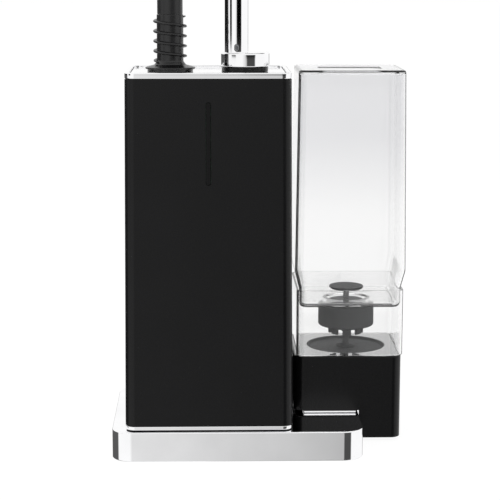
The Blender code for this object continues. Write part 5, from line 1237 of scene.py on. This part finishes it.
class STEAMER_OT_stage(bpy.types.Operator):
    """Set the pale floor, the studio light and the camera"""

    bl_idname = "steamer.stage"
    bl_label = "Stage"

    # Brightness of the studio's panels by direction, in degrees from straight ahead towards the tank's side
    # in what the upright tubes mirror, and in what the low base mirrors
    TUBE_PANELS = ((-180, 1.0), (-170, 1.0), (-163, 0.0), (-90, 0.0), (-86, 1.0), (-70, 1.0), (-66, 0.02),
                   (-48, 0.02), (-44, 1.0), (-13, 1.0), (-5, 0.8), (0, 0.6), (5, 0.0), (46, 0.0), (51, 1.0),
                   (146, 1.0), (152, 0.3), (180, 0.3))
    BASE_PANELS = ((-180, 1.0), (-170, 1.0), (-163, 0.1), (-90, 0.1), (-84, 1.0), (-15, 1.0), (-2, 0.76),
                   (5, 0.52), (9, 0.07), (44, 0.07), (49, 1.0), (148, 1.0), (154, 0.4), (180, 0.4))

    # Each lamp's name, place, width and power
    LAMPS = (("key_panel", (-1.1, -1.3, 1.7), 1.4, 12.0), ("fill_panel", (1.5, -0.9, 1.2), 1.4, 8.0),
             ("back_panel", (0.2, 1.5, 1.6), 1.2, 8.0))

    # The camera fitted to the photograph: its lens in millimetres, its place, and its angles in degrees
    LENS = 116.05
    PLACE = (-0.04986, -1.50993, 0.44697)
    TURN = -1.545
    TILT = 80.084
    ROLL = 0.108

    WHITE = (1.0, 1.0, 1.0, 1.0)
    EVEN_LIGHT = (0.6, 0.6, 0.6, 1.0)

    def execute(self, context):
        scene = context.scene
        scene.view_settings.view_transform = "Standard"
        self.floor()
        self.world(scene)
        for lamp in self.LAMPS:
            self.lamp(*lamp)
        camera = bpy.data.cameras.new("camera")
        camera.lens = self.LENS
        camera.sensor_width = 36.0
        view = bpy.data.objects.new("camera", camera)
        view.location = self.PLACE
        turn = Matrix.Rotation(math.radians(self.TURN), 3, "Z")
        tilt = Matrix.Rotation(math.radians(self.TILT), 3, "X")
        roll = Matrix.Rotation(math.radians(self.ROLL), 3, "Z")
        view.rotation_euler = (turn @ tilt @ roll).to_euler()
        scene.collection.objects.link(view)
        scene.camera = view
        return {"FINISHED"}

    def floor(self):
        """A pale floor that the camera sees as white, with the object's soft shadow."""
        leave()
        bpy.ops.mesh.primitive_plane_add(size=40.0, location=(0, 0, -0.0002))
        floor = keep_new("floor")
        material = bpy.data.materials.new("white_paper_sweep")
        material.use_nodes = True
        tree = material.node_tree
        tree.nodes.clear()
        path = add_node(tree, "ShaderNodeLightPath").outputs
        seen = add_node(tree, "ShaderNodeMath", {0: path["Is Camera Ray"], 1: path["Is Transmission Ray"]},
                        operation="MAXIMUM").outputs["Value"]
        share = add_node(tree, "ShaderNodeMath", {0: seen, 1: 0.86}, operation="MULTIPLY").outputs["Value"]
        paper = add_node(tree, "ShaderNodeBsdfDiffuse", {"Color": shade(linear("#F4F4F4"))}).outputs["BSDF"]
        glow = add_node(tree, "ShaderNodeEmission", {"Strength": 1.08}).outputs["Emission"]
        mixed = add_node(tree, "ShaderNodeMixShader", {"Fac": share, 1: paper, 2: glow}).outputs["Shader"]
        add_node(tree, "ShaderNodeOutputMaterial", {"Surface": mixed})
        floor.data.materials.append(material)
        floor.visible_glossy = False

    def world(self, scene):
        """White behind the object, even light on it, and studio panels in what it mirrors."""
        world = bpy.data.worlds.new("studio")
        scene.world = world
        world.use_nodes = True
        tree = world.node_tree
        tree.nodes.clear()
        way = add_node(tree, "ShaderNodeTexCoord").outputs["Generated"]
        parts = add_node(tree, "ShaderNodeSeparateXYZ", {"Vector": way}).outputs
        ahead = add_node(tree, "ShaderNodeMath", {0: parts["Y"], 1: -1.0},
                         operation="MULTIPLY").outputs["Value"]
        bearing = add_node(tree, "ShaderNodeMath", {0: parts["X"], 1: ahead},
                           operation="ARCTAN2").outputs["Value"]
        share = add_node(tree, "ShaderNodeMapRange",
                         {"Value": bearing, "From Min": -math.pi, "From Max": math.pi})
        rings = []
        for panels in (self.TUBE_PANELS, self.BASE_PANELS):
            ring = add_node(tree, "ShaderNodeValToRGB", {"Fac": share.outputs["Result"]})
            stops = ring.color_ramp.elements
            for index, (degrees, level) in enumerate(panels):
                place = (degrees + 180) / 360
                stop = stops[index] if index < 2 else stops.new(place)
                stop.position = place
                stop.color = (level, level, level, 1.0)
            rings.append(ring.outputs["Color"])
        above = add_node(tree, "ShaderNodeMapRange", {"Value": parts["Z"], "From Min": 0.0, "From Max": 0.04})
        low = add_node(tree, "ShaderNodeMapRange",
                       {"Value": parts["Z"], "From Min": -0.045, "From Max": -0.05})
        around = add_node(tree, "ShaderNodeMix", {"Factor": low.outputs["Result"], 6: rings[0], 7: rings[1]},
                          data_type="RGBA").outputs[2]
        mirrored = add_node(tree, "ShaderNodeMix", {"Factor": above.outputs["Result"], 6: around,
                                                    7: self.WHITE}, data_type="RGBA").outputs[2]
        path = add_node(tree, "ShaderNodeLightPath").outputs
        seen = add_node(tree, "ShaderNodeMix", {"Factor": path["Is Glossy Ray"], 6: self.EVEN_LIGHT,
                                                7: mirrored}, data_type="RGBA").outputs[2]
        plain = add_node(tree, "ShaderNodeMath", {0: path["Is Camera Ray"], 1: path["Is Transmission Ray"]},
                         operation="MAXIMUM").outputs["Value"]
        colour = add_node(tree, "ShaderNodeMix", {"Factor": plain, 6: seen,
                                                  7: self.WHITE}, data_type="RGBA").outputs[2]
        light = add_node(tree, "ShaderNodeBackground", {"Color": colour}).outputs["Background"]
        add_node(tree, "ShaderNodeOutputWorld", {"Surface": light})

    def lamp(self, name, place, size, power):
        """A soft square lamp that looks at the housing's middle and isn't mirrored itself."""
        lamp = bpy.data.lights.new(name, "AREA")
        lamp.size = size
        lamp.energy = power
        light = bpy.data.objects.new(name, lamp)
        light.location = place
        look = Vector((0, 0, 0.25)) - Vector(place)
        light.rotation_euler = look.to_track_quat("-Z", "Y").to_euler()
        light.visible_glossy = False
        bpy.context.scene.collection.objects.link(light)


class STEAMER_PT_panel(bpy.types.Panel):
    """Lists the steamer's pieces and sizes"""

    bl_idname = "STEAMER_PT_panel"
    bl_label = "Garment Steamer"
    bl_space_type = "VIEW_3D"
    bl_region_type = "UI"
    bl_category = "Steamer"

    def draw(self, context):
        for piece in PIECES:
            self.layout.operator(piece.bl_idname)
        for group in (context.scene.steamer_sizes, context.scene.steamer_colours):
            for name in group.__annotations__:
                self.layout.prop(group, name)


PIECES = (STEAMER_OT_hose, STEAMER_OT_base, STEAMER_OT_housing, STEAMER_OT_inlet, STEAMER_OT_pole,
          STEAMER_OT_carriers, STEAMER_OT_head, STEAMER_OT_dock, STEAMER_OT_tank, STEAMER_OT_works,
          STEAMER_OT_stage)
CLASSES = (SteamerSizes, SteamerColours, *PIECES, STEAMER_PT_panel)


def register():
    """Add the classes and the scene's sizes and colours."""
    for item in CLASSES:
        bpy.utils.register_class(item)
    bpy.types.Scene.steamer_sizes = PointerProperty(type=SteamerSizes)
    bpy.types.Scene.steamer_colours = PointerProperty(type=SteamerColours)


def unregister():
    """Take the classes and the scene's sizes and colours away."""
    del bpy.types.Scene.steamer_colours
    del bpy.types.Scene.steamer_sizes
    for item in reversed(CLASSES):
        bpy.utils.unregister_class(item)


def main():
    """Model every piece in order."""
    register()
    for piece in PIECES:
        group, name = piece.bl_idname.split(".")
        getattr(getattr(bpy.ops, group), name)()


if __name__ == "__main__":
    main()
